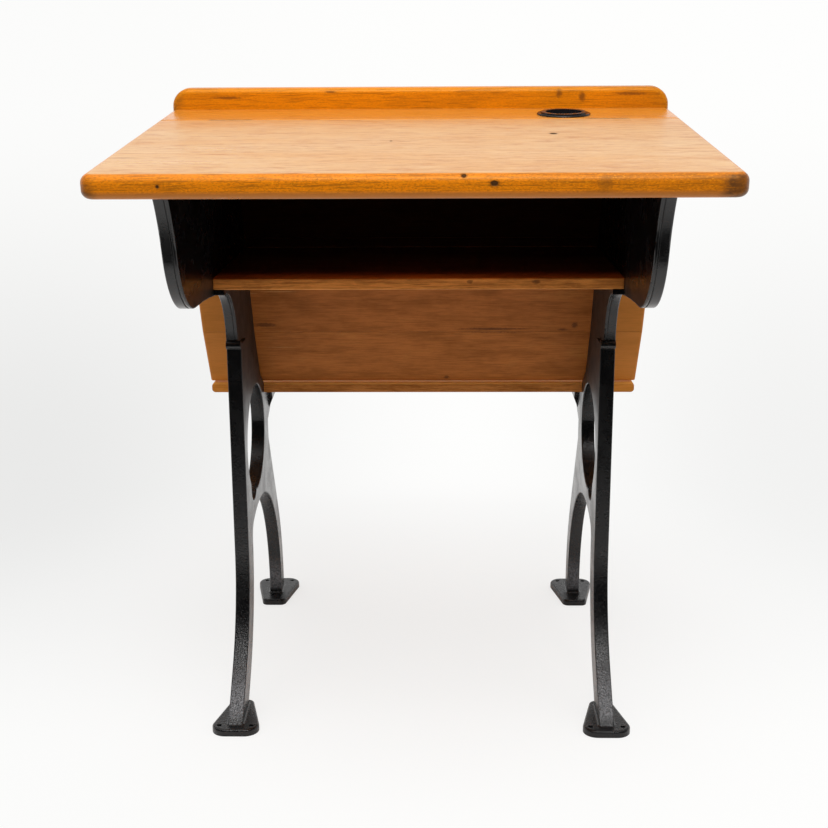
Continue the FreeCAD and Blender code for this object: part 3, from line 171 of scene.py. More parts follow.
# Colours that no setting changes.
RAIL_AMBER = (0.86, 0.275, 0.002)
# In the top's tints, "under" is a painted reflection of the floor along the bottom of the nose.
TOP_TINTS = {
    "cloud": (0.71, 0.32, 0.07), "pale": (0.82, 0.52, 0.26), "streak": (0.46, 0.125, 0.014),
    "hair": (0.46, 0.13, 0.016), "kept": (0.74, 0.245, 0.011), "speck": (1.0, 0.37, 0.005),
    "under": (0.55, 0.185, 0.035), "end": (0.1, 0.04, 0.015), "stain": (0.24, 0.075, 0.008),
    "edge": (0.8, 0.42, 0.12),
}
BODIES = {"shelf": (0.76, 0.295, 0.06), "seat_rail": (0.6, 0.235, 0.06)}
# Of the board tints, "lit" is a painted highlight, "outer" is painted light on the ends, and "boxed
# in" and "dim" are painted shade.
BOARD_TINTS = {
    "lit": (1.0, 0.52, 0.13), "blotch": (0.5, 0.2, 0.045), "outer": (0.72, 0.26, 0.032),
    "edge": (0.5, 0.21, 0.05), "scratch": (0.62, 0.3, 0.1),
    "painted box shade": (0.004, 0.0015, 0.0004), "painted shade": (0.006, 0.002, 0.0006),
}
# The first colour is real dust; the second is a painted highlight on the front of the lower legs.
IRON_DUST, ANKLE_HIGHLIGHT = (0.16, 0.15, 0.14), (0.15, 0.15, 0.16)
CUP, CUP_STAIN, CUP_DUST = (0.012, 0.012, 0.013), (0.022, 0.021, 0.026), (0.12, 0.11, 0.1)
# Each metal: its colour where rubbed and where dull, and its roughness.
METALS = {
    "hinge_brass": ((0.5, 0.34, 0.14), (0.16, 0.1, 0.045), 0.3),
    "steel": ((0.34, 0.33, 0.32), (0.1, 0.09, 0.08), 0.34),
}

# Screws turn at random by up to this, from this seed on.
HALF_TURN, FIRST_SEED = 3.1416, 7

# The shadow left on the floor: its stretch, its centre, and where it starts and ends to fade.
SHADOW_SHAPE, SHADOW_CENTRE, SHADOW_REACH = (0.75, 0.62, 0.0), (0.0, 0.2, 0.0), (0.2, 0.6)
FLOOR_CORNERS = ((-1.6, -0.8), (1.6, 1.7))
# Each lamp: its name, its place, where it points, its size and its power.
LAMPS = [
    ("overhead_box", (-0.3, -0.6, 2.5), (0.0, 0.0, 0.5), (1.6, 0.9), 6.0),
    ("front_box", (0.1, -2.1, 3.0), (0.0, 0.0, 0.4), (1.5, 0.85), 37.0),
]

# What every colour and every share in the settings below has.
COLOUR = {"subtype": "COLOR", "size": 4, "min": 0.0, "max": 1.0}
SHARE = {"subtype": "FACTOR", "min": 0.0, "max": 1.0}


class DeskTopWood(bpy.types.PropertyGroup):
    """Finish of the lid, the strip behind it and the pencil rail."""

    worn: bpy.props.FloatVectorProperty(
        name="Worn top", description="Colour of the flat top, where the varnish has thinned",
        default=(0.73, 0.41, 0.15, 1.0), **COLOUR)
    amber: bpy.props.FloatVectorProperty(
        name="Amber edge", description="Colour of the nose and the rail, where the varnish is whole",
        default=(0.87, 0.238, 0.001, 1.0), **COLOUR)
    streak: bpy.props.FloatVectorProperty(
        name="Grain lines", description="Colour of the darker lines along the boards",
        default=(0.32, 0.095, 0.004, 1.0), **COLOUR)
    grime: bpy.props.FloatVectorProperty(
        name="Grime", description="Colour of rubbed-in dirt at corners and holes",
        default=(0.06, 0.02, 0.005, 1.0), **COLOUR)
    ring_spacing: bpy.props.FloatProperty(
        name="Ring spacing", description="Distance from one growth ring to the next",
        unit="LENGTH", min=0.001, max=0.03, default=0.0052)
    fibre_width: bpy.props.FloatProperty(
        name="Fibre width", description="Width of the finest lines along the boards",
        unit="LENGTH", min=0.0001, max=0.01, default=0.0009)
    streak_width: bpy.props.FloatProperty(
        name="Streak width", description="Width of the broad dark streaks of the flat top",
        unit="LENGTH", min=0.001, max=0.03, default=0.006)
    roughness: bpy.props.FloatProperty(
        name="Roughness", description="Roughness of the worn varnish", default=0.24, **SHARE)


class DeskBoardWood(bpy.types.PropertyGroup):
    """Finish of the back boards, the shelf, the battens and the seat."""

    body: bpy.props.FloatVectorProperty(
        name="Board colour", description="Colour of the older brown varnish",
        default=(0.445, 0.144, 0.029, 1.0), **COLOUR)
    streak: bpy.props.FloatVectorProperty(
        name="Grain lines", description="Colour of the darker lines along the boards",
        default=(0.2, 0.06, 0.007, 1.0), **COLOUR)
    grime: bpy.props.FloatVectorProperty(
        name="Grime", description="Colour of knots, cracks and dirt",
        default=(0.04, 0.013, 0.004, 1.0), **COLOUR)
    ring_spacing: bpy.props.FloatProperty(
        name="Ring spacing", description="Distance from one growth ring to the next",
        unit="LENGTH", min=0.001, max=0.03, default=0.0065)
    fibre_width: bpy.props.FloatProperty(
        name="Fibre width", description="Width of the finest lines along the boards",
        unit="LENGTH", min=0.0001, max=0.01, default=0.001)
    roughness: bpy.props.FloatProperty(
        name="Roughness", description="Roughness of the older varnish", default=0.42, **SHARE)


class DeskIron(bpy.types.PropertyGroup):
    """Paint of the castings, the seat arms and the inkwell."""

    paint: bpy.props.FloatVectorProperty(
        name="Paint", description="Colour of the black gloss paint",
        default=(0.0026, 0.0026, 0.003, 1.0), **COLOUR)
    # Also the colour of the painted glints low on the legs.
    rubbed_edge_and_glints: bpy.props.FloatVectorProperty(
        name="Rubbed edge", description="Colour where the paint has rubbed thin on an edge",
        default=(0.034, 0.033, 0.032, 1.0), **COLOUR)
    skin_size: bpy.props.FloatProperty(
        name="Cast skin", description="Size of the grains of the cast skin under the paint",
        unit="LENGTH", min=0.0003, max=0.01, default=0.0022)
    skin_depth: bpy.props.FloatProperty(
        name="Skin depth", description="Height of the cast skin under the paint",
        unit="LENGTH", min=0.0, max=0.001, default=0.00016)
    roughness: bpy.props.FloatProperty(
        name="Roughness", description="Roughness of the paint", default=0.2, **SHARE)
    edge_width: bpy.props.FloatProperty(
        name="Softened edge", description="Width over which an edge catches the light",
        unit="LENGTH", min=0.0, max=0.01, default=0.0012)


class DeskScrews(bpy.types.PropertyGroup):
    """Slotted screw heads."""

    slot_width: bpy.props.FloatProperty(
        name="Slot width", description="Width of the driver slot, as a share of the head's radius",
        subtype="FACTOR", min=0.05, max=0.6, default=0.24)
    slot_depth: bpy.props.FloatProperty(
        name="Slot depth", description="Depth of the driver slot",
        unit="LENGTH", min=0.0001, max=0.003, default=0.0008)
    sides: bpy.props.IntProperty(
        name="Sides", description="Sides of a head's round outline", min=8, max=64, default=28)


class DeskStage(bpy.types.PropertyGroup):
    """Camera, floor and light."""

    lens: bpy.props.FloatProperty(
        name="Focal length", description="Focal length of the camera",
        subtype="DISTANCE_CAMERA", min=10.0, max=300.0, default=58.478)
    stand: bpy.props.FloatVectorProperty(
        name="Camera place", description="Where the camera stands",
        subtype="TRANSLATION", size=3, default=(0.0235, -1.7258, 0.835))
    pitch: bpy.props.FloatProperty(
        name="Tilt", description="How far the camera looks down",
        subtype="ANGLE", default=math.radians(14.6))
    yaw: bpy.props.FloatProperty(
        name="Turn", description="How far the camera turns to its right",
        subtype="ANGLE", default=math.radians(-1.09))
    roll: bpy.props.FloatProperty(
        name="Roll", description="How far the camera leans",
        subtype="ANGLE", default=math.radians(-0.293))
    floor_colour: bpy.props.FloatVectorProperty(
        name="Floor", description="Colour of the floor sheet",
        default=(0.93, 0.925, 0.915, 1.0), **COLOUR)
    paper_share: bpy.props.FloatProperty(
        name="Paper share", description="How much of the floor under the desk is plain paper",
        default=0.74, **SHARE)
    sky: bpy.props.FloatProperty(
        name="Room light", description="Strength of the soft light of the room",
        min=0.0, max=5.0, default=1.02)
    front_fill: bpy.props.FloatProperty(
        name="Front fill", description="Share of the room's light that comes from the front",
        default=0.35, **SHARE)


# ---------------------------------------------------------------- shader trees

def is_wire(value):
    """Whether a value is a node's socket, not a number."""
    return isinstance(value, bpy.types.NodeSocket)


def put(kind, inputs=None, tree=None, **settings):
    """Adds a node to the tree of its inputs; each input is a number, a colour or a socket."""
    inputs = inputs or {}
    tree = tree or next(value.id_data for value in inputs.values() if is_wire(value))
    node = tree.nodes.new(kind)
    for name, value in settings.items():
        setattr(node, name, value)
    for name, value in inputs.items():
        if is_wire(value):
            tree.links.new(value, node.inputs[name])
        else:
            node.inputs[name].default_value = value
    return node


def calc(operation, *values):
    """Result of a Math node."""
    return put("ShaderNodeMath", dict(enumerate(values)), operation=operation).outputs[0]


def plus(first, second):
    """Sum of two numbers or sockets."""
    return calc("ADD", first, second) if is_wire(first) or is_wire(second) else first + second


def minus(first, second):
    """What is left of the first when the second is taken away."""
    return calc("SUBTRACT", first, second)


def times(*values):
    """Product of numbers and sockets."""
    result = values[0]
    for value in values[1:]:
        both = is_wire(result) or is_wire(value)
        result = calc("MULTIPLY", result, value) if both else result * value
    return result


def vec(operation, *values):
    """Vector result of a Vector Math node."""
    inputs = dict(enumerate(values))
    if operation == "SCALE":
        inputs = {0: values[0], "Scale": values[1]}
    return put("ShaderNodeVectorMath", inputs, operation=operation).outputs["Vector"]


def measure(operation, first, second):
    """Number that a Vector Math node makes of two vectors."""
    return put("ShaderNodeVectorMath", {0: first, 1: second}, operation=operation).outputs["Value"]


def step(value, low, high, start=0.0, end=1.0):
    """Goes smoothly from start to end as the value goes from low to high."""
    return put("ShaderNodeMapRange", {
        "Value": value, "From Min": low, "From Max": high, "To Min": start, "To Max": end,
    }, interpolation_type="SMOOTHSTEP").outputs["Result"]


def solid(colour):
    """A colour of three numbers gets its alpha; anything else stays."""
    return (*colour, 1.0) if isinstance(colour, tuple) and len(colour) == 3 else colour


def mix(factor, first, second):
    """Colour between two colours."""
    return put("ShaderNodeMix", {0: factor, 6: solid(first), 7: solid(second)},
               data_type="RGBA").outputs[2]


def coat(colour, over, *shares):
    """Lays a second colour over the first, by the product of the shares."""
    return mix(times(*shares), colour, over)


def lerp(factor, first, second):
    """Number between two numbers."""
    if not is_wire(factor):
        return first + factor * (second - first)
    return put("ShaderNodeMix", {0: factor, 2: first, 3: second}, data_type="FLOAT").outputs[0]


def noise(vector, scale, detail=3.0, roughness=0.5, distortion=0.0, output="Fac"):
    """Noise at a place; scale is in waves a metre."""
    return put("ShaderNodeTexNoise", {
        "Vector": vector, "Scale": scale, "Detail": detail,
        "Roughness": roughness, "Distortion": distortion,
    }).outputs[output]


def wobble(vector, scale, amount):
    """A small shift to either side that changes over the surface."""
    shift = vec("SUBTRACT", noise(vector, scale, detail=2.0, output="Color"), (0.5, 0.5, 0.5))
    return vec("SCALE", shift, amount)


def parts(vector):
    """The x, y and z of a vector."""
    return put("ShaderNodeSeparateXYZ", {0: vector}).outputs


def point(*axes):
    """A vector of three numbers or sockets."""
    if not any(map(is_wire, axes)):
        return axes
    return put("ShaderNodeCombineXYZ", dict(enumerate(axes))).outputs[0]


def drawn_out(place, width, stretch, across=1.0):
    """A place in widths, drawn out along X."""
    return vec("DIVIDE", place, point(
        times(width, stretch), times(width, across), times(width, across)))


FLOAT, VECTOR = "NodeSocketFloat", "NodeSocketVector"


def grain_group(entry):
    """Growth rings, fibres and pores of a board sawn along X."""
    place = vec("ADD", entry["Vector"], entry["Start"])
    drift = wobble(vec("MULTIPLY", place, (1.6, 5.0, 5.0)), 1.0, entry["Wander"])
    across = vec("SUBTRACT", vec("ADD", entry["Vector"], drift), entry["Heart"])
    radius = measure("DISTANCE", vec("MULTIPLY", across, (0.0, 1.0, 1.0)), NOWHERE)
    uneven = noise(point(times(radius, 60.0), 0.0, 0.0), 1.0)
    rings = plus(calc("DIVIDE", radius, entry["Ring Spacing"]), times(uneven, 2.5))
    saw = calc("FRACT", rings)
    late = times(calc("POWER", saw, 3.0), step(saw, 0.86, 1.0, 1.0, 0.0))
    width = entry["Fibre Width"]
    fibres = noise(drawn_out(place, width, 45.0), 1.0, roughness=0.6)
    pores = step(noise(drawn_out(place, width, 7.0, 0.7), 1.0, detail=1.0), 0.6, 0.72)
    clouds = noise(vec("MULTIPLY", place, (3.5, 16.0, 16.0)), 1.0, detail=4.0, roughness=0.55)
    height = minus(times(fibres, 0.5), times(pores, 0.35))
    return {"Rings": late, "Clouds": clouds, "Height": minus(height, times(late, 0.15))}


def spot_group(entry):
    """A rounded spot, such as a nail hole, a knot or a stain."""
    away = vec("SUBTRACT", entry["Vector"], entry["Centre"])
    away = vec("DIVIDE", away, entry["Half Size"])
    away = vec("ADD", away, wobble(entry["Vector"], 420.0, entry["Raggedness"]))
    reach = measure("DISTANCE", away, NOWHERE)
    return {"Mask": step(reach, minus(1.0, entry["Softness"]), 1.0, 1.0, 0.0)}


def edge_group(entry):
    """Where a solid's outer edges are, broken up by noise."""
    soft = put("ShaderNodeBevel", {"Radius": entry["Width"]}, samples=6).outputs[0]
    true = put("ShaderNodeNewGeometry", tree=soft.id_data).outputs["Normal"]
    bend = step(minus(1.0, measure("DOT_PRODUCT", soft, true)), 0.01, 0.22)
    patch = step(noise(entry["Vector"], 55.0, detail=5.0, roughness=0.65), 0.4, 0.62)
    return {"Mask": times(bend, lerp(entry["Patchiness"], 1.0, patch)), "Normal": soft}


def skin_group(entry):
    """Fine grains of a sand casting under thick paint."""
    size = entry["Grain Size"]
    place = vec("DIVIDE", entry["Vector"], point(size, size, size))
    grains = noise(place, 1.0, roughness=0.55)
    waves = noise(place, 0.16, detail=2.0)
    pits = put("ShaderNodeTexVoronoi", {"Vector": place, "Scale": 0.42}).outputs["Distance"]
    pits = step(pits, 0.05, 0.32, -1.0, 0.0)
    dull = noise(entry["Vector"], 24.0, detail=4.0, roughness=0.6)
    height = plus(plus(grains, times(waves, 0.15)), times(pits, 0.01))
    return {"Height": height, "Dull": step(dull, 0.35, 0.7)}


def dust_group(entry):
    """Dust that settles on what faces up."""
    up = step(parts(entry["Normal"])["Z"], 0.35, 0.95)
    fleck = step(noise(entry["Vector"], 90.0, detail=6.0, roughness=0.7), 0.38, 0.72)
    return {"Mask": times(up, fleck, entry["Amount"])}


def backdrop_group(entry):
    """Level of the white paper in each direction from where the eye stands, with painted shade
    darkening it low down to the left and right.
    """
    way = parts(vec("NORMALIZE", entry["Direction"]))
    low = times(step(way["Z"], -0.02, -0.27), step(way["Z"], -0.47, -0.29))
    left = step(way["X"], 0.03, -0.3)
    right = step(way["X"], 0.02, 0.26)
    side_shade = times(plus(times(left, 0.15), times(right, 0.1)), low)
    return {"Level": minus(0.99, plus(side_shade, times(left, 0.02)))}


# Each shader group: what builds it, and its inputs with the values that they start from.
GROUPS = {
    "Board grain": (grain_group, {
        "Vector": NOWHERE, "Start": NOWHERE, "Heart": (0.0, 0.3, -0.5), "Ring Spacing": 0.005,
        "Fibre Width": 0.001, "Wander": 0.012}),
    "Spot": (spot_group, {
        "Vector": NOWHERE, "Centre": NOWHERE, "Half Size": (0.01, 0.01, 0.01),
        "Softness": 0.3, "Raggedness": 0.15}),
    "Edge wear": (edge_group, {"Vector": NOWHERE, "Width": 0.002, "Patchiness": 0.5}),
    "Cast skin": (skin_group, {"Vector": NOWHERE, "Grain Size": 0.002}),
    "Dust": (dust_group, {"Vector": NOWHERE, "Normal": (0.0, 0.0, 1.0), "Amount": 0.3}),
    "Backdrop": (backdrop_group, {"Direction": NOWHERE}),
}


def new_group(name):
    """Makes a shader group with its named inputs and outputs."""
    build, starts = GROUPS[name]
    group = bpy.data.node_groups.new(name, "ShaderNodeTree")
    for label, start in starts.items():
        kind = VECTOR if isinstance(start, tuple) else FLOAT
        socket = group.interface.new_socket(label, in_out="INPUT", socket_type=kind)
        socket.default_value = start
    results = build(group.nodes.new("NodeGroupInput").outputs)
    for label, result in results.items():
        kind = VECTOR if result.type == "VECTOR" else FLOAT
        group.interface.new_socket(label, in_out="OUTPUT", socket_type=kind)
    leave = group.nodes.new("NodeGroupOutput").inputs
    for label, result in results.items():
        group.links.new(result, leave[label])
    return group


def grouped(name, **inputs):
    """Places a shader group, built on its first use, and gives its outputs."""
    group = bpy.data.node_groups.get(name) or new_group(name)
    inputs = {label.replace("_", " "): value for label, value in inputs.items()}
    return put("ShaderNodeGroup", inputs, node_tree=group).outputs


def new_material(name):
    """An empty material: itself, its object coordinates, object normal and shader."""
    material = bpy.data.materials.new(name)
    material.use_nodes = True
    tree = material.node_tree
    tree.nodes.clear()
    spot = put("ShaderNodeTexCoord", tree=tree).outputs
    shader = put("ShaderNodeBsdfPrincipled", tree=tree)
    put("ShaderNodeOutputMaterial", {"Surface": shader.outputs[0]})
    return material, spot["Object"], spot["Normal"], shader


def feed(shader, values):
    """Gives the shader's inputs a socket, a colour or a number each."""
    for name, value in values.items():
        if is_wire(value):
            value.id_data.links.new(value, shader.inputs[name])
        else:
            shader.inputs[name].default_value = solid(value)


def bumped(height, depth, normal=None):
    """Normal of a surface with that height, in metres."""
    inputs = {"Height": height, "Distance": depth}
    if normal is not None:
        inputs["Normal"] = normal
    return put("ShaderNodeBump", inputs).outputs[0]


def add_object(name, data):
    """An object in the scene that holds this data."""
    piece = bpy.data.objects.new(name, data)
    bpy.context.scene.collection.objects.link(piece)
    return piece


def give(names, material):
    """Puts a material in every slot of these CAD nodes."""
    for name in names:
        for holder in NODES[name].material_slots:
            holder.material = material


# ---------------------------------------------------------------- wood

def spots(place, marks, softness=0.35, raggedness=0.25):
    """Mask of a list of spots, or 0 where there are none."""
    result = 0.0
    for number, (centre, size) in enumerate(marks):
        mask = grouped("Spot", Vector=place, Centre=centre, Half_Size=size,
                       Softness=softness, Raggedness=raggedness)["Mask"]
        result = calc("MAXIMUM", result, mask) if number else mask
    return result


def long_noise(place, start, width, stretch, detail=4.0, roughness=0.6):
    """Noise drawn out along the board."""
    spot = drawn_out(vec("ADD", place, start), width, stretch)
    return noise(spot, 1.0, detail=detail, roughness=roughness, distortion=0.35)


def board_grain(place, start, heart, look, wander):
    """The grain group with one board's own start and heart."""
    return grouped("Board grain", Vector=place, Start=start, Heart=(0.0, *heart),
                   Ring_Spacing=look.ring_spacing, Fibre_Width=look.fibre_width, Wander=wander)


def top_material(name, start, heart, look):
    """Amber varnish, streaked along the grain and brown at the corners, with a painted reflection of
    the floor along the bottom of the nose.
    """
    material, place, normal, shader = new_material("top_wood_" + name)
    grain = board_grain(place, start, heart, look, 0.016)
    edge = grouped("Edge wear", Vector=place, Width=0.0022, Patchiness=0.55)
    xyz, up = parts(place), parts(normal)["Z"]
    rail, lid = name == "back_rail", name == "lid"
    amber, dark, flat = RAIL_AMBER if rail else look.amber, look.streak, 0.0
    if not rail:
        gap = calc("ABSOLUTE", minus(xyz["Y"], JOINT_Y))
        flat = calc("MAXIMUM", step(up, 0.9, 0.992), step(gap, *JOINT_BAND))
    # flat top
    broad = long_noise(place, start, look.streak_width, 7.0, roughness=0.68)
    thin = long_noise(place, start, look.streak_width * 0.6, 11.0, roughness=0.7)
    streaks = calc("MAXIMUM", step(broad, 0.52, 0.7), step(thin, 0.53, 0.7))
    pale = step(long_noise(place, start, look.streak_width * 1.3, 7.0), 0.5, 0.34)
    hair = long_noise(place, start, look.fibre_width * 4.0, 7.0, roughness=0.75)
    top = mix(step(grain["Clouds"], 0.38, 0.66, 0.0, 0.45), look.worn, TOP_TINTS["cloud"])
    top = coat(top, TOP_TINTS["pale"], pale, 0.4)
    top = coat(top, TOP_TINTS["streak"], streaks, 0.8)
    top = coat(top, TOP_TINTS["hair"], step(hair, 0.5, 0.66, 0.0, 0.5))
    kept = step(xyz["Y"], JOINT_Y - 0.11, JOINT_Y, 0.0, 0.35) if name != "rear_strip" else 0.8
    top = mix(kept, top, coat(TOP_TINTS["kept"], dark, streaks, 0.5))
    # nose, ends and rail
    speck = long_noise(place, start, 0.0012, 2.2, detail=3.0, roughness=0.7)
    line = long_noise(place, start, 0.0016, 22.0, roughness=0.65)
    shade = calc("MAXIMUM", step(speck, 0.47, 0.66), step(line, 0.49, 0.68))
    rough_grain = 0.3 if rail else 0.6
    front = coat(amber, dark, shade, rough_grain)
    front = coat(front, dark, step(line, 0.48, 0.64, 0.0, 0.45))
    front = coat(front, dark, step(grain["Clouds"], 0.45, 0.68, 0.0, 0.42))
    front = coat(front, TOP_TINTS["speck"], step(speck, 0.46, 0.3, 0.0, rough_grain))
    # Painted reflection: a lighter, duller band along the bottom of the nose stands in for the floor
    # seen in it.
    if lid:
        under = step(xyz["Z"], NOSE_LOW_Z + 0.0085, NOSE_LOW_Z + 0.0045, 0.0, 0.85)
        front = coat(front, TOP_TINTS["under"], under, step(xyz["Y"], NOSE_Y + 0.016, NOSE_Y + 0.004))
    colour = mix(flat, front, top)
    # ends, stains and holes
    ends = times(step(xyz["X"], *LEFT_END_X), step(up, 0.15, -0.35, 0.35, 1.0))
    ends = calc("MAXIMUM", step(xyz["X"], *RIGHT_END_X) if lid else 0.0, ends)
    rub = noise(vec("MULTIPLY", place, (1.0, 1.0, 2.4)), 90.0, detail=5.0, roughness=0.7)
    ends = times(ends, step(up, 0.95, 0.6), step(rub, 0.34, 0.58, 0.45, 1.0))
    colour = coat(colour, TOP_TINTS["end"], ends, 0.95)
    stains = spots(place, TOP_STAINS[name], 0.65, 0.6)
    colour = coat(colour, TOP_TINTS["stain"], stains, 0.85 if rail else 0.5)
    marks = TOP_HOLES.get(name, [])
    holes = spots(place, marks)
    rims = spots(place, [(centre, tuple(RIM * value for value in size)) for centre, size in marks],
                 0.5, 0.7)
    colour = coat(colour, look.grime, rims, 0.45)
    colour = coat(colour, look.grime, holes)
    colour = coat(colour, TOP_TINTS["edge"], edge["Mask"], 0.2)
    rough = lerp(flat, 0.28, 0.14 if name == "rear_strip" else look.roughness)
    rough = plus(plus(rough, times(grain["Clouds"], 0.1)), times(streaks, 0.04))
    height = minus(minus(grain["Height"], times(holes, 14.0)), times(streaks, 0.3))
    feed(shader, {
        "Base Color": colour, "Roughness": plus(rough, times(holes, 0.4)),
        "Specular Tint": (1.0, 0.68, 0.3),
        "Normal": bumped(plus(height, times(speck, 0.5)), 0.0001, edge["Normal"])})
    return material


def board_material(name, start, heart, look):
    """Older, browner varnish, blotched, with knots and cracks; painted shade makes it nearly black
    inside the box, painted light brightens the outer ends, and a painted highlight lies on the rail's
    lip.
    """
    material, place, normal, shader = new_material("board_wood_" + name)
    grain = board_grain(place, start, heart, look, 0.03)
    edge = grouped("Edge wear", Vector=place, Width=0.0018, Patchiness=0.5)
    xyz, facing, dark = parts(place), parts(normal), look.streak
    blotch = noise(vec("MULTIPLY", vec("ADD", place, start), (0.3, 1.0, 1.0)), 34.0,
                   detail=6.0, roughness=0.7)
    broad = long_noise(place, start, 0.0045, 9.0, roughness=0.75)
    fine = long_noise(place, start, 0.0013, 26.0, roughness=0.7)
    colour = mix(step(blotch, 0.44, 0.68, 0.0, 0.6), BODIES.get(name, look.body), dark)
    colour = coat(colour, dark, step(broad, 0.5, 0.7, 0.0, 0.38))
    colour = coat(colour, dark, step(fine, 0.46, 0.62, 0.0, 0.55))
    # Painted highlight: the up-facing lip of the seat rail is made brighter.
    if name == "seat_rail":
        colour = coat(colour, BOARD_TINTS["lit"], step(facing["Z"], 0.3, 0.7),
                      step(xyz["Y"], *RAIL_HIGHLIGHT_Y))
    colour = coat(colour, dark, grain["Rings"], 0.18)
    colour = coat(colour, BOARD_TINTS["blotch"], step(blotch, 0.45, 0.28, 0.0, 0.35))
    # Painted light: the board ends outside the standards, the back faces and the seat boards are made
    # lighter, as if only the middle lay in shade.
    wide = calc("ABSOLUTE", xyz["X"])
    outer = calc("MAXIMUM", step(wide, *LIT_ENDS_X), step(facing["Y"], 0.2, 0.6))
    if name.startswith("seat_") and name.endswith("board"):
        outer = 1.0
    colour = coat(colour, BOARD_TINTS["outer"], outer, 0.5)
    colour = coat(colour, BOARD_TINTS["edge"], edge["Mask"], 0.3)
    colour = coat(colour, look.grime, spots(place, BOARD_MARKS.get(name, []), 0.6, 0.9), 0.6)
    colour = coat(colour, BOARD_TINTS["scratch"],
                  spots(place, BOARD_SCRATCHES.get(name, []), 0.8, 0.6), 0.6)
    # Painted shade: the front faces of the upper back boards inside the book box are made nearly
    # black.
    if name in ("back_upper_board", "back_middle_board"):
        colour = coat(colour, BOARD_TINTS["painted box shade"], step(facing["Y"], -0.3, -0.6),
                      step(xyz["Z"], SHELF_TOP_Z - 0.001, SHELF_TOP_Z + 0.001),
                      step(wide, *BOX_SHADE_X), 0.93)
    # Painted shade: the shelf's top inside the box is made nearly black.
    if name == "shelf":
        colour = coat(colour, BOARD_TINTS["painted shade"], step(facing["Z"], 0.6, 0.9),
                      step(xyz["Y"], *SHELF_SHADE_Y), 0.9)
    # Painted shade: the battens are darkened all over.
    if name.endswith("batten"):
        colour = coat(colour, BOARD_TINTS["painted shade"], 0.85)
    feed(shader, {
        "Base Color": colour, "Roughness": plus(times(blotch, 0.22), look.roughness - 0.08),
        "Specular IOR Level": 0.02 if name == "seat_rail" else 0.12,
        "Normal": bumped(grain["Height"], 0.00012, edge["Normal"])})
    return material


class DESK_OT_top(bpy.types.Operator):
    """Finish the lid, the strip behind it and the pencil rail"""
    bl_idname = "desk.top"
    bl_label = "Finish the desk top"

    def execute(self, context):
        look = context.scene.desk_top_wood
        for name, (start, heart) in TOP_BOARDS.items():
            give([name], top_material(name, start, heart, look))
        return {"FINISHED"}


class DESK_OT_boards(bpy.types.Operator):
    """Finish the back boards, the shelf, the battens and the seat"""
    bl_idname = "desk.boards"
    bl_label = "Finish the brown boards"

    def execute(self, context):
        look = context.scene.desk_board_wood
        for name, (start, heart) in BACK_BOARDS.items():
            give([name], board_material(name, start, heart, look))
        return {"FINISHED"}


# ---------------------------------------------------------------- iron and metal

def iron_material(name, look, roughness, edge_share):
    """Black gloss paint over a cast skin, with painted glints and a painted highlight low on the
    legs.
    """
    material, place, normal, shader = new_material(name)
    skin = grouped("Cast skin", Vector=place, Grain_Size=look.skin_size)
    edge = grouped("Edge wear", Vector=place, Width=look.edge_width, Patchiness=0.7)
    dust = grouped("Dust", Vector=place, Normal=normal, Amount=0.04)["Mask"]
    height, facing = parts(place)["Z"], parts(normal)
    colour = coat(look.paint, look.rubbed_edge_and_glints, edge["Mask"], edge_share)
    above_foot = step(height, *ABOVE_FOOT_Z)
    # Painted glints: pale specks, denser towards the feet, stand in for light sparkling on the cast
    # skin.
    speck = step(noise(place, 620.0, detail=2.0, roughness=0.6), 0.5, 0.66)
    colour = coat(colour, look.rubbed_edge_and_glints, speck, step(height, *GLINT_Z, 0.1, 0.75),
                  lerp(above_foot, 0.25, 1.0))
    # Painted highlight: a pale bluish grey on the front of the lower legs, broken up by noise, stands
    # in for the front lamp's reflection.
    worn = step(noise(place, 480.0, roughness=0.7), 0.38, 0.6, 0.05, 0.75)
    colour = coat(colour, ANKLE_HIGHLIGHT, step(height, *ANKLE_HIGHLIGHT_Z), step(facing["Y"], -0.3, -0.7),
                  above_foot, worn)
    side = step(calc("ABSOLUTE", facing["X"]), 0.6, 0.9)
    middle = times(step(height, *MIDDLE_FROM_Z), step(height, *MIDDLE_TO_Z))
    rough = plus(times(skin["Dull"], 0.12), roughness)
    rough = plus(rough, times(side, middle, 0.3))
    relief = times(skin["Height"], step(height, *SKIN_Z, 0.5, 3.2), minus(1.0, times(side, 0.7)))
    feed(shader, {
        "Base Color": coat(colour, IRON_DUST, dust), "Roughness": plus(rough, times(dust, 0.5)),
        "Normal": bumped(relief, look.skin_depth, edge["Normal"])})
    return material


class DESK_OT_iron(bpy.types.Operator):
    """Paint the two castings and the seat arms"""
    bl_idname = "desk.iron"
    bl_label = "Paint the castings"

    def execute(self, context):
        look = context.scene.desk_iron
        paint = iron_material("black_iron", look, look.roughness, 0.6)
        give(["left_standard", "right_standard", "left_seat_arm", "right_seat_arm"], paint)
        return {"FINISHED"}


class DESK_OT_inkwell(bpy.types.Operator):
    """Finish the inkwell's ring and cup"""
    bl_idname = "desk.inkwell"
    bl_label = "Finish the inkwell"

    def execute(self, context):
        give(["inkwell_ring"], iron_material("ring_iron", context.scene.desk_iron, 0.16, 0.5))
        material, place, normal, shader = new_material("cup_black")
        dust = grouped("Dust", Vector=place, Normal=normal, Amount=0.35)["Mask"]
        stain = noise(place, 160.0, detail=5.0, roughness=0.65)
        feed(shader, {
            "Base Color": coat(mix(step(stain, 0.45, 0.75), CUP, CUP_STAIN), CUP_DUST, dust),
            "Roughness": step(stain, 0.3, 0.8, 0.12, 0.34), "Normal": bumped(stain, 0.00006)})
        give(["inkwell_cup"], material)
        return {"FINISHED"}


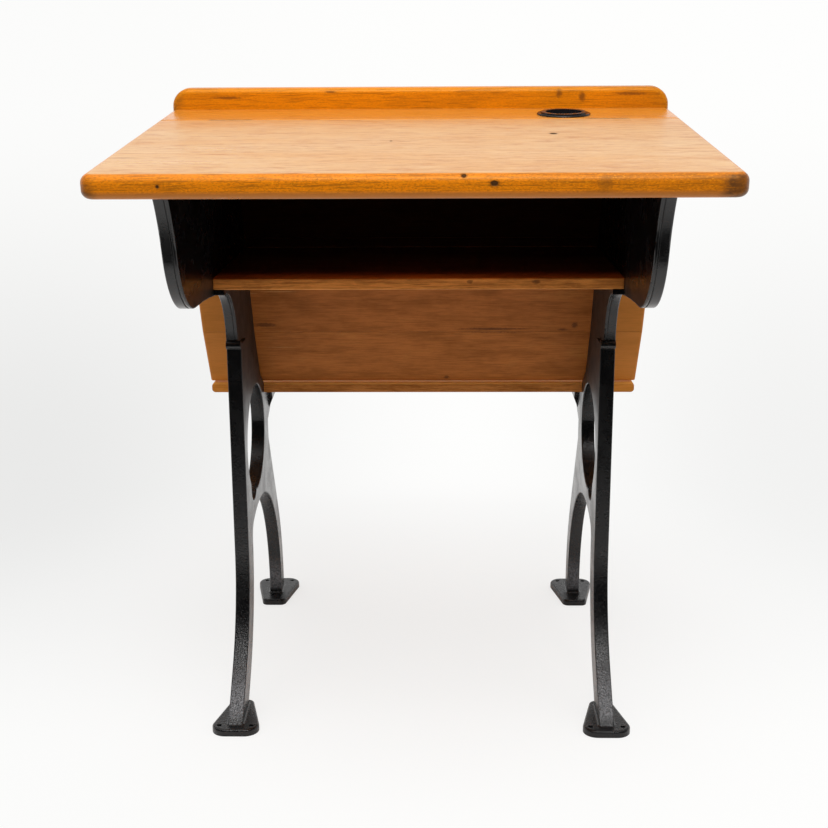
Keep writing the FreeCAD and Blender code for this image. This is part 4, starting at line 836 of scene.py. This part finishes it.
def metal_material(name):
    """Old metal, dulled in patches and brighter where it is rubbed."""
    clean, tarnish, roughness = METALS[name]
    material, place, normal, shader = new_material(name)
    edge = grouped("Edge wear", Vector=place, Width=0.0004, Patchiness=0.3)
    patch = noise(place, 260.0, detail=5.0, roughness=0.65)
    dull = step(patch, 0.35, 0.68)
    height = plus(patch, times(noise(place, 1500.0), 0.4))
    feed(shader, {
        "Base Color": coat(mix(dull, clean, tarnish), clean, edge["Mask"], 0.4),
        "Metallic": 1.0, "Roughness": plus(times(dull, 0.22), roughness),
        "Normal": bumped(height, 0.00005, edge["Normal"])})
    return material


class DESK_OT_metal(bpy.types.Operator):
    """Finish the hinges, the seat pivots and the metal of the screws"""
    bl_idname = "desk.metal"
    bl_label = "Finish the hinges and pivots"

    def execute(self, context):
        hinge = [name for name in NODES if "_hinge_" in name and "screws" not in name]
        pivot = [name for name in NODES if "_pivot" in name]
        if len(hinge) != 6 or len(pivot) != 6:
            raise RuntimeError("the hinge or pivot pieces have changed")
        give(hinge, metal_material("hinge_brass"))
        give(pivot, metal_material("steel"))
        return {"FINISHED"}


# ---------------------------------------------------------------- screws

def shells(mesh):
    """The separate shells of a mesh, each as an array of its triangles' corners."""
    points = np.empty(len(mesh.vertices) * 3)
    mesh.vertices.foreach_get("co", points)
    points = points.reshape(-1, 3)
    _, same = np.unique(np.round(points, 6), axis=0, return_inverse=True)
    same = same.ravel()
    owner = np.arange(same.max() + 1)

    def top(index):
        while owner[index] != index:
            owner[index] = owner[owner[index]]
            index = owner[index]
        return index

    mesh.calc_loop_triangles()
    corners = np.array([triangle.vertices for triangle in mesh.loop_triangles])
    for first, second, third in same[corners]:
        owner[top(second)] = top(first)
        owner[top(third)] = top(first)
    shell = np.array([top(index) for index in same[corners[:, 0]]])
    return [points[corners[shell == number]] for number in np.unique(shell)]


def screw_facts(faces):
    """Head centre, heading out of the head, the screw's sizes, and whether its head is round."""
    cross = np.cross(faces[:, 1] - faces[:, 0], faces[:, 2] - faces[:, 0]) / 2
    area = np.linalg.norm(cross, axis=1)
    faces, cross, area = faces[area > 0], cross[area > 0], area[area > 0]
    normal = cross / area[:, None]
    # more of the surface looks along the axis than any other way
    alike = normal @ normal.T > 0.9999
    flat = alike[(alike * area).sum(1).argmax()]
    axis = cross[flat].sum(0)
    axis /= np.linalg.norm(axis)
    middle = np.average(faces[flat].mean(1), axis=0, weights=area[flat])
    points = faces.reshape(-1, 3)
    along = (points - middle) @ axis
    radius = np.linalg.norm(points - middle - np.outer(along, axis), axis=1)
    if along[radius.argmax()] < (along.max() + along.min()) / 2:
        axis, along = -axis, -along
    tip, head, widest = along.min(), along.max(), radius.max()
    shank = radius[along < tip + 1e-5].max()
    collar = along[radius > shank + 1e-5].min()
    sizes = {"Head Radius": float(widest), "Shank Radius": float(shank),
             "Length": float(head - tip), "Head Height": float(head - collar)}
    rounded = bool(head - along[radius > widest - 1e-5].max() > 1e-4)
    return middle + axis * head, axis, sizes, rounded


def moved(geometry, height, **more):
    """Geometry lifted by that height."""
    return put("GeometryNodeTransform", {
        "Geometry": geometry, "Translation": point(0.0, 0.0, height), **more}).outputs[0]


def cut_away(geometry, tool):
    """Geometry less a tool's volume."""
    return put("GeometryNodeMeshBoolean", {"Mesh 1": geometry, "Mesh 2": tool},
               operation="DIFFERENCE", solver="EXACT").outputs["Mesh"]


def screw_tree():
    """Slotted screws on points, each looking along its point's heading."""
    group = bpy.data.node_groups.new("Slotted screws", "GeometryNodeTree")
    group.is_modifier = True
    sides = group.interface
    sides.new_socket("Geometry", in_out="OUTPUT", socket_type="NodeSocketGeometry")
    for label, kind, default in [
            ("Geometry", "NodeSocketGeometry", None), ("Head Radius", FLOAT, 0.004),
            ("Shank Radius", FLOAT, 0.002), ("Length", FLOAT, 0.02), ("Head Height", FLOAT, 0.002),
            ("Slot Width", FLOAT, 0.001), ("Slot Depth", FLOAT, 0.001),
            ("Sides", "NodeSocketInt", 28), ("Round Head", "NodeSocketBool", False),
            ("Turn Seed", "NodeSocketInt", FIRST_SEED), ("Metal", "NodeSocketMaterial", None)]:
        socket = sides.new_socket(label, in_out="INPUT", socket_type=kind)
        if default is not None:
            socket.default_value = default
    entry = group.nodes.new("NodeGroupInput").outputs
    leave = group.nodes.new("NodeGroupOutput").inputs
    head, shank = entry["Head Radius"], entry["Shank Radius"]
    height, length = entry["Head Height"], entry["Length"]
    # countersunk head: a cone whose flat face lies at z 0
    cone = put("GeometryNodeMeshCone", {
        "Vertices": entry["Sides"], "Radius Top": head, "Radius Bottom": shank, "Depth": height})
    cone = moved(cone.outputs["Mesh"], times(height, -1.0))
    # round head: the upper half of a flattened ball on z minus its height
    ball = put("GeometryNodeMeshUVSphere", {
        "Segments": entry["Sides"], "Rings": 16, "Radius": head})
    ball = moved(ball.outputs["Mesh"], times(height, -1.0),
                 Scale=point(1.0, 1.0, calc("DIVIDE", height, head)))
    under = put("GeometryNodeMeshCube", {
        "Size": point(times(head, 3.0), times(head, 3.0), times(height, 2.0))})
    dome = cut_away(ball, moved(under.outputs["Mesh"], times(height, -2.0)))
    top = put("GeometryNodeSwitch", {
        "Switch": entry["Round Head"], "False": cone, "True": dome}, input_type="GEOMETRY")
    slot = put("GeometryNodeMeshCube", {
        "Size": point(times(head, 2.4), entry["Slot Width"], times(entry["Slot Depth"], 2.0))})
    shaft = put("GeometryNodeMeshCylinder", {
        "Vertices": entry["Sides"], "Radius": shank, "Depth": minus(length, height)})
    shaft = moved(shaft.outputs["Mesh"], times(plus(length, height), -0.5))
    screw = put("GeometryNodeJoinGeometry", {
        "Geometry": cut_away(top.outputs[0], slot.outputs["Mesh"])})
    group.links.new(shaft, screw.inputs["Geometry"])
    heading = put("GeometryNodeInputNamedAttribute", {"Name": "heading"}, group,
                  data_type="FLOAT_VECTOR")
    align = put("FunctionNodeAlignRotationToVector", {
        "Vector": heading.outputs["Attribute"]}, axis="Z")
    turn = put("FunctionNodeRandomValue", {
        "Min": NOWHERE, "Max": (0.0, 0.0, HALF_TURN), "Seed": entry["Turn Seed"],
    }, data_type="FLOAT_VECTOR")
    spin = put("FunctionNodeEulerToRotation", {"Euler": turn.outputs["Value"]})
    pose = put("FunctionNodeRotateRotation", {
        "Rotation": align.outputs["Rotation"], "Rotate By": spin.outputs["Rotation"]},
        rotation_space="LOCAL")
    placed = put("GeometryNodeInstanceOnPoints", {
        "Points": entry["Geometry"], "Instance": screw.outputs[0],
        "Rotation": pose.outputs["Rotation"]})
    real = put("GeometryNodeRealizeInstances", {"Geometry": placed.outputs[0]})
    metal = put("GeometryNodeSetMaterial", {
        "Geometry": real.outputs[0], "Material": entry["Metal"]})
    group.links.new(metal.outputs[0], leave["Geometry"])
    return group


def set_inputs(modifier, values):
    """Sets a modifier's inputs by their labels, through the sockets' identifiers."""
    for item in modifier.node_group.interface.items_tree:
        if item.item_type == "SOCKET" and item.in_out == "INPUT" and item.name in values:
            modifier[item.identifier] = values[item.name]


def plain_mesh(holder, name):
    """The evaluated result of an object's modifiers, as a plain mesh object."""
    graph = bpy.context.evaluated_depsgraph_get()
    graph.update()
    mesh = bpy.data.meshes.new_from_object(holder.evaluated_get(graph))
    holder.modifiers.clear()
    bpy.data.objects.remove(holder)
    return add_object(name, mesh)


def screw_set(node, number, metal, look):
    """Slotted screws in the place of one CAD node's plain ones."""
    facts = [screw_facts(faces) for faces in shells(NODES[node].data)]
    centres, headings, sizes, rounded = zip(*facts)
    mesh = bpy.data.meshes.new(node + "_points")
    mesh.from_pydata([tuple(centre) for centre in centres], [], [])
    heading = mesh.attributes.new("heading", "FLOAT_VECTOR", "POINT")
    heading.data.foreach_set("vector", np.array(headings).ravel())
    holder = add_object(node + "_points", mesh)
    modifier = holder.modifiers.new("Slotted screws", "NODES")
    modifier.node_group = bpy.data.node_groups.get("Slotted screws") or screw_tree()
    set_inputs(modifier, {
        **sizes[0], "Slot Width": sizes[0]["Head Radius"] * look.slot_width,
        "Slot Depth": look.slot_depth, "Sides": look.sides, "Round Head": rounded[0],
        "Turn Seed": FIRST_SEED + number, "Metal": metal,
    })
    piece = plain_mesh(holder, "slotted_" + node)
    if len(piece.data.polygons) < 20 * len(facts):
        raise RuntimeError("no screws were made for " + node)
    return piece


class DESK_OT_screws(bpy.types.Operator):
    """Put slotted screws in the place of the plain ones"""
    bl_idname = "desk.screws"
    bl_label = "Put in slotted screws"

    def execute(self, context):
        look = context.scene.desk_screws
        groups = frame["record"]["behaviour"]["bodies"]
        names = sorted(name for name in NODES if name.endswith("_screws"))
        for number, node in enumerate(names):
            kind = "hinge_brass" if "_hinge_" in node else "steel"
            piece = screw_set(node, number, bpy.data.materials[kind], look)
            body = next(body for body, members in groups.items() if node in members)
            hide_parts(node)
            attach(piece, body)
        return {"FINISHED"}


# ---------------------------------------------------------------- stage

def paper(level):
    """Very slightly warm white of that level."""
    return put("ShaderNodeCombineColor", {0: level, 1: level, 2: times(level, 0.992)}).outputs[0]


def floor_material(look):
    """Pale sheet; the eye sees little more of it than the shadow on the white paper."""
    material, place, normal, shader = new_material("floor_sheet")
    pale = tuple(look.floor_colour)[:3]
    mottle = step(noise(place, 3.0, detail=2.0), 0.3, 0.7)
    feed(shader, {
        "Base Color": mix(mottle, pale, tuple(0.985 * value for value in pale)),
        "Roughness": 0.7, "Specular IOR Level": 0.2})
    reach = measure("DISTANCE", vec("MULTIPLY", place, SHADOW_SHAPE), SHADOW_CENTRE)
    fade = step(reach, *SHADOW_REACH, look.paper_share, 1.0)
    eye = put("ShaderNodeLightPath", tree=shader.id_data).outputs["Is Camera Ray"]
    away = vec("SUBTRACT", place, tuple(look.stand))
    white = put("ShaderNodeEmission", {
        "Color": paper(grouped("Backdrop", Direction=away)["Level"]), "Strength": 1.0})
    both = put("ShaderNodeMixShader", {
        0: times(fade, eye), 1: shader.outputs[0], 2: white.outputs[0]}).outputs[0]
    leave = next(node for node in shader.id_data.nodes if node.type == "OUTPUT_MATERIAL")
    shader.id_data.links.new(both, leave.inputs["Surface"])
    return material


def studio_world(look):
    """White paper to the eye, bright above and behind, dark behind the camera."""
    world = bpy.data.worlds.new("studio")
    world.use_nodes = True
    tree = world.node_tree
    tree.nodes.clear()
    ray = put("ShaderNodeLightPath", tree=tree).outputs
    direction = put("ShaderNodeTexCoord", tree=tree).outputs["Generated"]
    heading = parts(direction)
    above = step(heading["Z"], 0.05, 0.85)
    behind = step(heading["Y"], -0.3, 0.45)
    light = times(lerp(above, lerp(behind, look.front_fill, 0.6), 1.0), look.sky)
    mirror = lerp(behind, 0.01, step(heading["Z"], 0.28, 0.5, 0.95, 0.3))
    mirror = calc("MAXIMUM", mirror, step(heading["Z"], 0.55, 0.95, 0.0, 0.8))
    level = lerp(ray["Is Glossy Ray"], light, mirror)
    clear = calc("MAXIMUM", ray["Is Camera Ray"], ray["Is Transmission Ray"])
    grey = put("ShaderNodeCombineColor", {0: level, 1: level, 2: level}).outputs[0]
    sight = paper(grouped("Backdrop", Direction=direction)["Level"])
    ground = put("ShaderNodeBackground", {"Color": mix(clear, grey, sight), "Strength": 1.0})
    put("ShaderNodeOutputWorld", {"Surface": ground.outputs[0]})
    return world


def soft_lamp(name, place, aim, size, power):
    """A white, square soft box that points at a place."""
    data = bpy.data.lights.new(name, "AREA")
    data.shape = "RECTANGLE"
    data.size, data.size_y = size
    data.energy = power
    lamp = add_object(name, data)
    lamp.location = place
    lamp.rotation_euler = (Vector(aim) - Vector(place)).to_track_quat("-Z", "Y").to_euler()


class DESK_OT_stage(bpy.types.Operator):
    """Set up the floor, the light and the camera"""
    bl_idname = "desk.stage"
    bl_label = "Set up the stage"

    def execute(self, context):
        look = context.scene.desk_stage
        scene = context.scene
        scene.view_settings.view_transform = "Standard"
        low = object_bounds()[0][2]
        (west, near), (east, far) = FLOOR_CORNERS
        mesh = bpy.data.meshes.new("floor")
        mesh.from_pydata([(west, near, low), (east, near, low), (east, far, low), (west, far, low)],
                         [], [(0, 1, 2, 3)])
        floor = add_object("floor", mesh)
        mesh.materials.append(floor_material(look))
        floor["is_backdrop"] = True
        scene.world = studio_world(look)
        for lamp in LAMPS:
            soft_lamp(*lamp)
        data = bpy.data.cameras.new("camera")
        data.sensor_fit = "HORIZONTAL"
        data.sensor_width = 36.0
        data.lens = look.lens
        camera = add_object("camera", data)
        aim = Euler((math.pi / 2 - look.pitch, 0.0, -look.yaw)).to_matrix().to_4x4()
        lean = Matrix.Rotation(look.roll, 4, "Z")
        camera.matrix_world = Matrix.Translation(look.stand) @ aim @ lean
        scene.camera = camera
        return {"FINISHED"}


class DESK_PT_panel(bpy.types.Panel):
    """The desk's pieces, in the order in which they are made"""
    bl_idname = "DESK_PT_panel"
    bl_label = "School desk"
    bl_space_type = "VIEW_3D"
    bl_region_type = "UI"
    bl_category = "Desk"

    def draw(self, context):
        for settings, name in SETTINGS:
            box = self.layout.box()
            box.label(text=settings.__doc__)
            for label in settings.__annotations__:
                box.prop(getattr(context.scene, name), label)
        for operator in OPERATORS:
            self.layout.operator(operator.bl_idname)


SETTINGS = [
    (DeskTopWood, "desk_top_wood"), (DeskBoardWood, "desk_board_wood"), (DeskIron, "desk_iron"),
    (DeskScrews, "desk_screws"), (DeskStage, "desk_stage"),
]
OPERATORS = [
    DESK_OT_iron, DESK_OT_top, DESK_OT_boards, DESK_OT_inkwell, DESK_OT_metal, DESK_OT_screws,
    DESK_OT_stage,
]


def register():
    for settings, name in SETTINGS:
        bpy.utils.register_class(settings)
        setattr(bpy.types.Scene, name, bpy.props.PointerProperty(type=settings))
    for operator in OPERATORS:
        bpy.utils.register_class(operator)
    bpy.utils.register_class(DESK_PT_panel)


def unregister():
    bpy.utils.unregister_class(DESK_PT_panel)
    for operator in reversed(OPERATORS):
        bpy.utils.unregister_class(operator)
    for settings, name in reversed(SETTINGS):
        delattr(bpy.types.Scene, name)
        bpy.utils.unregister_class(settings)


def main():
    register()
    bpy.ops.desk.iron()
    bpy.ops.desk.top()
    bpy.ops.desk.boards()
    bpy.ops.desk.inkwell()
    bpy.ops.desk.metal()
    bpy.ops.desk.screws()
    bpy.ops.desk.stage()


if __name__ == "__main__":
    main()
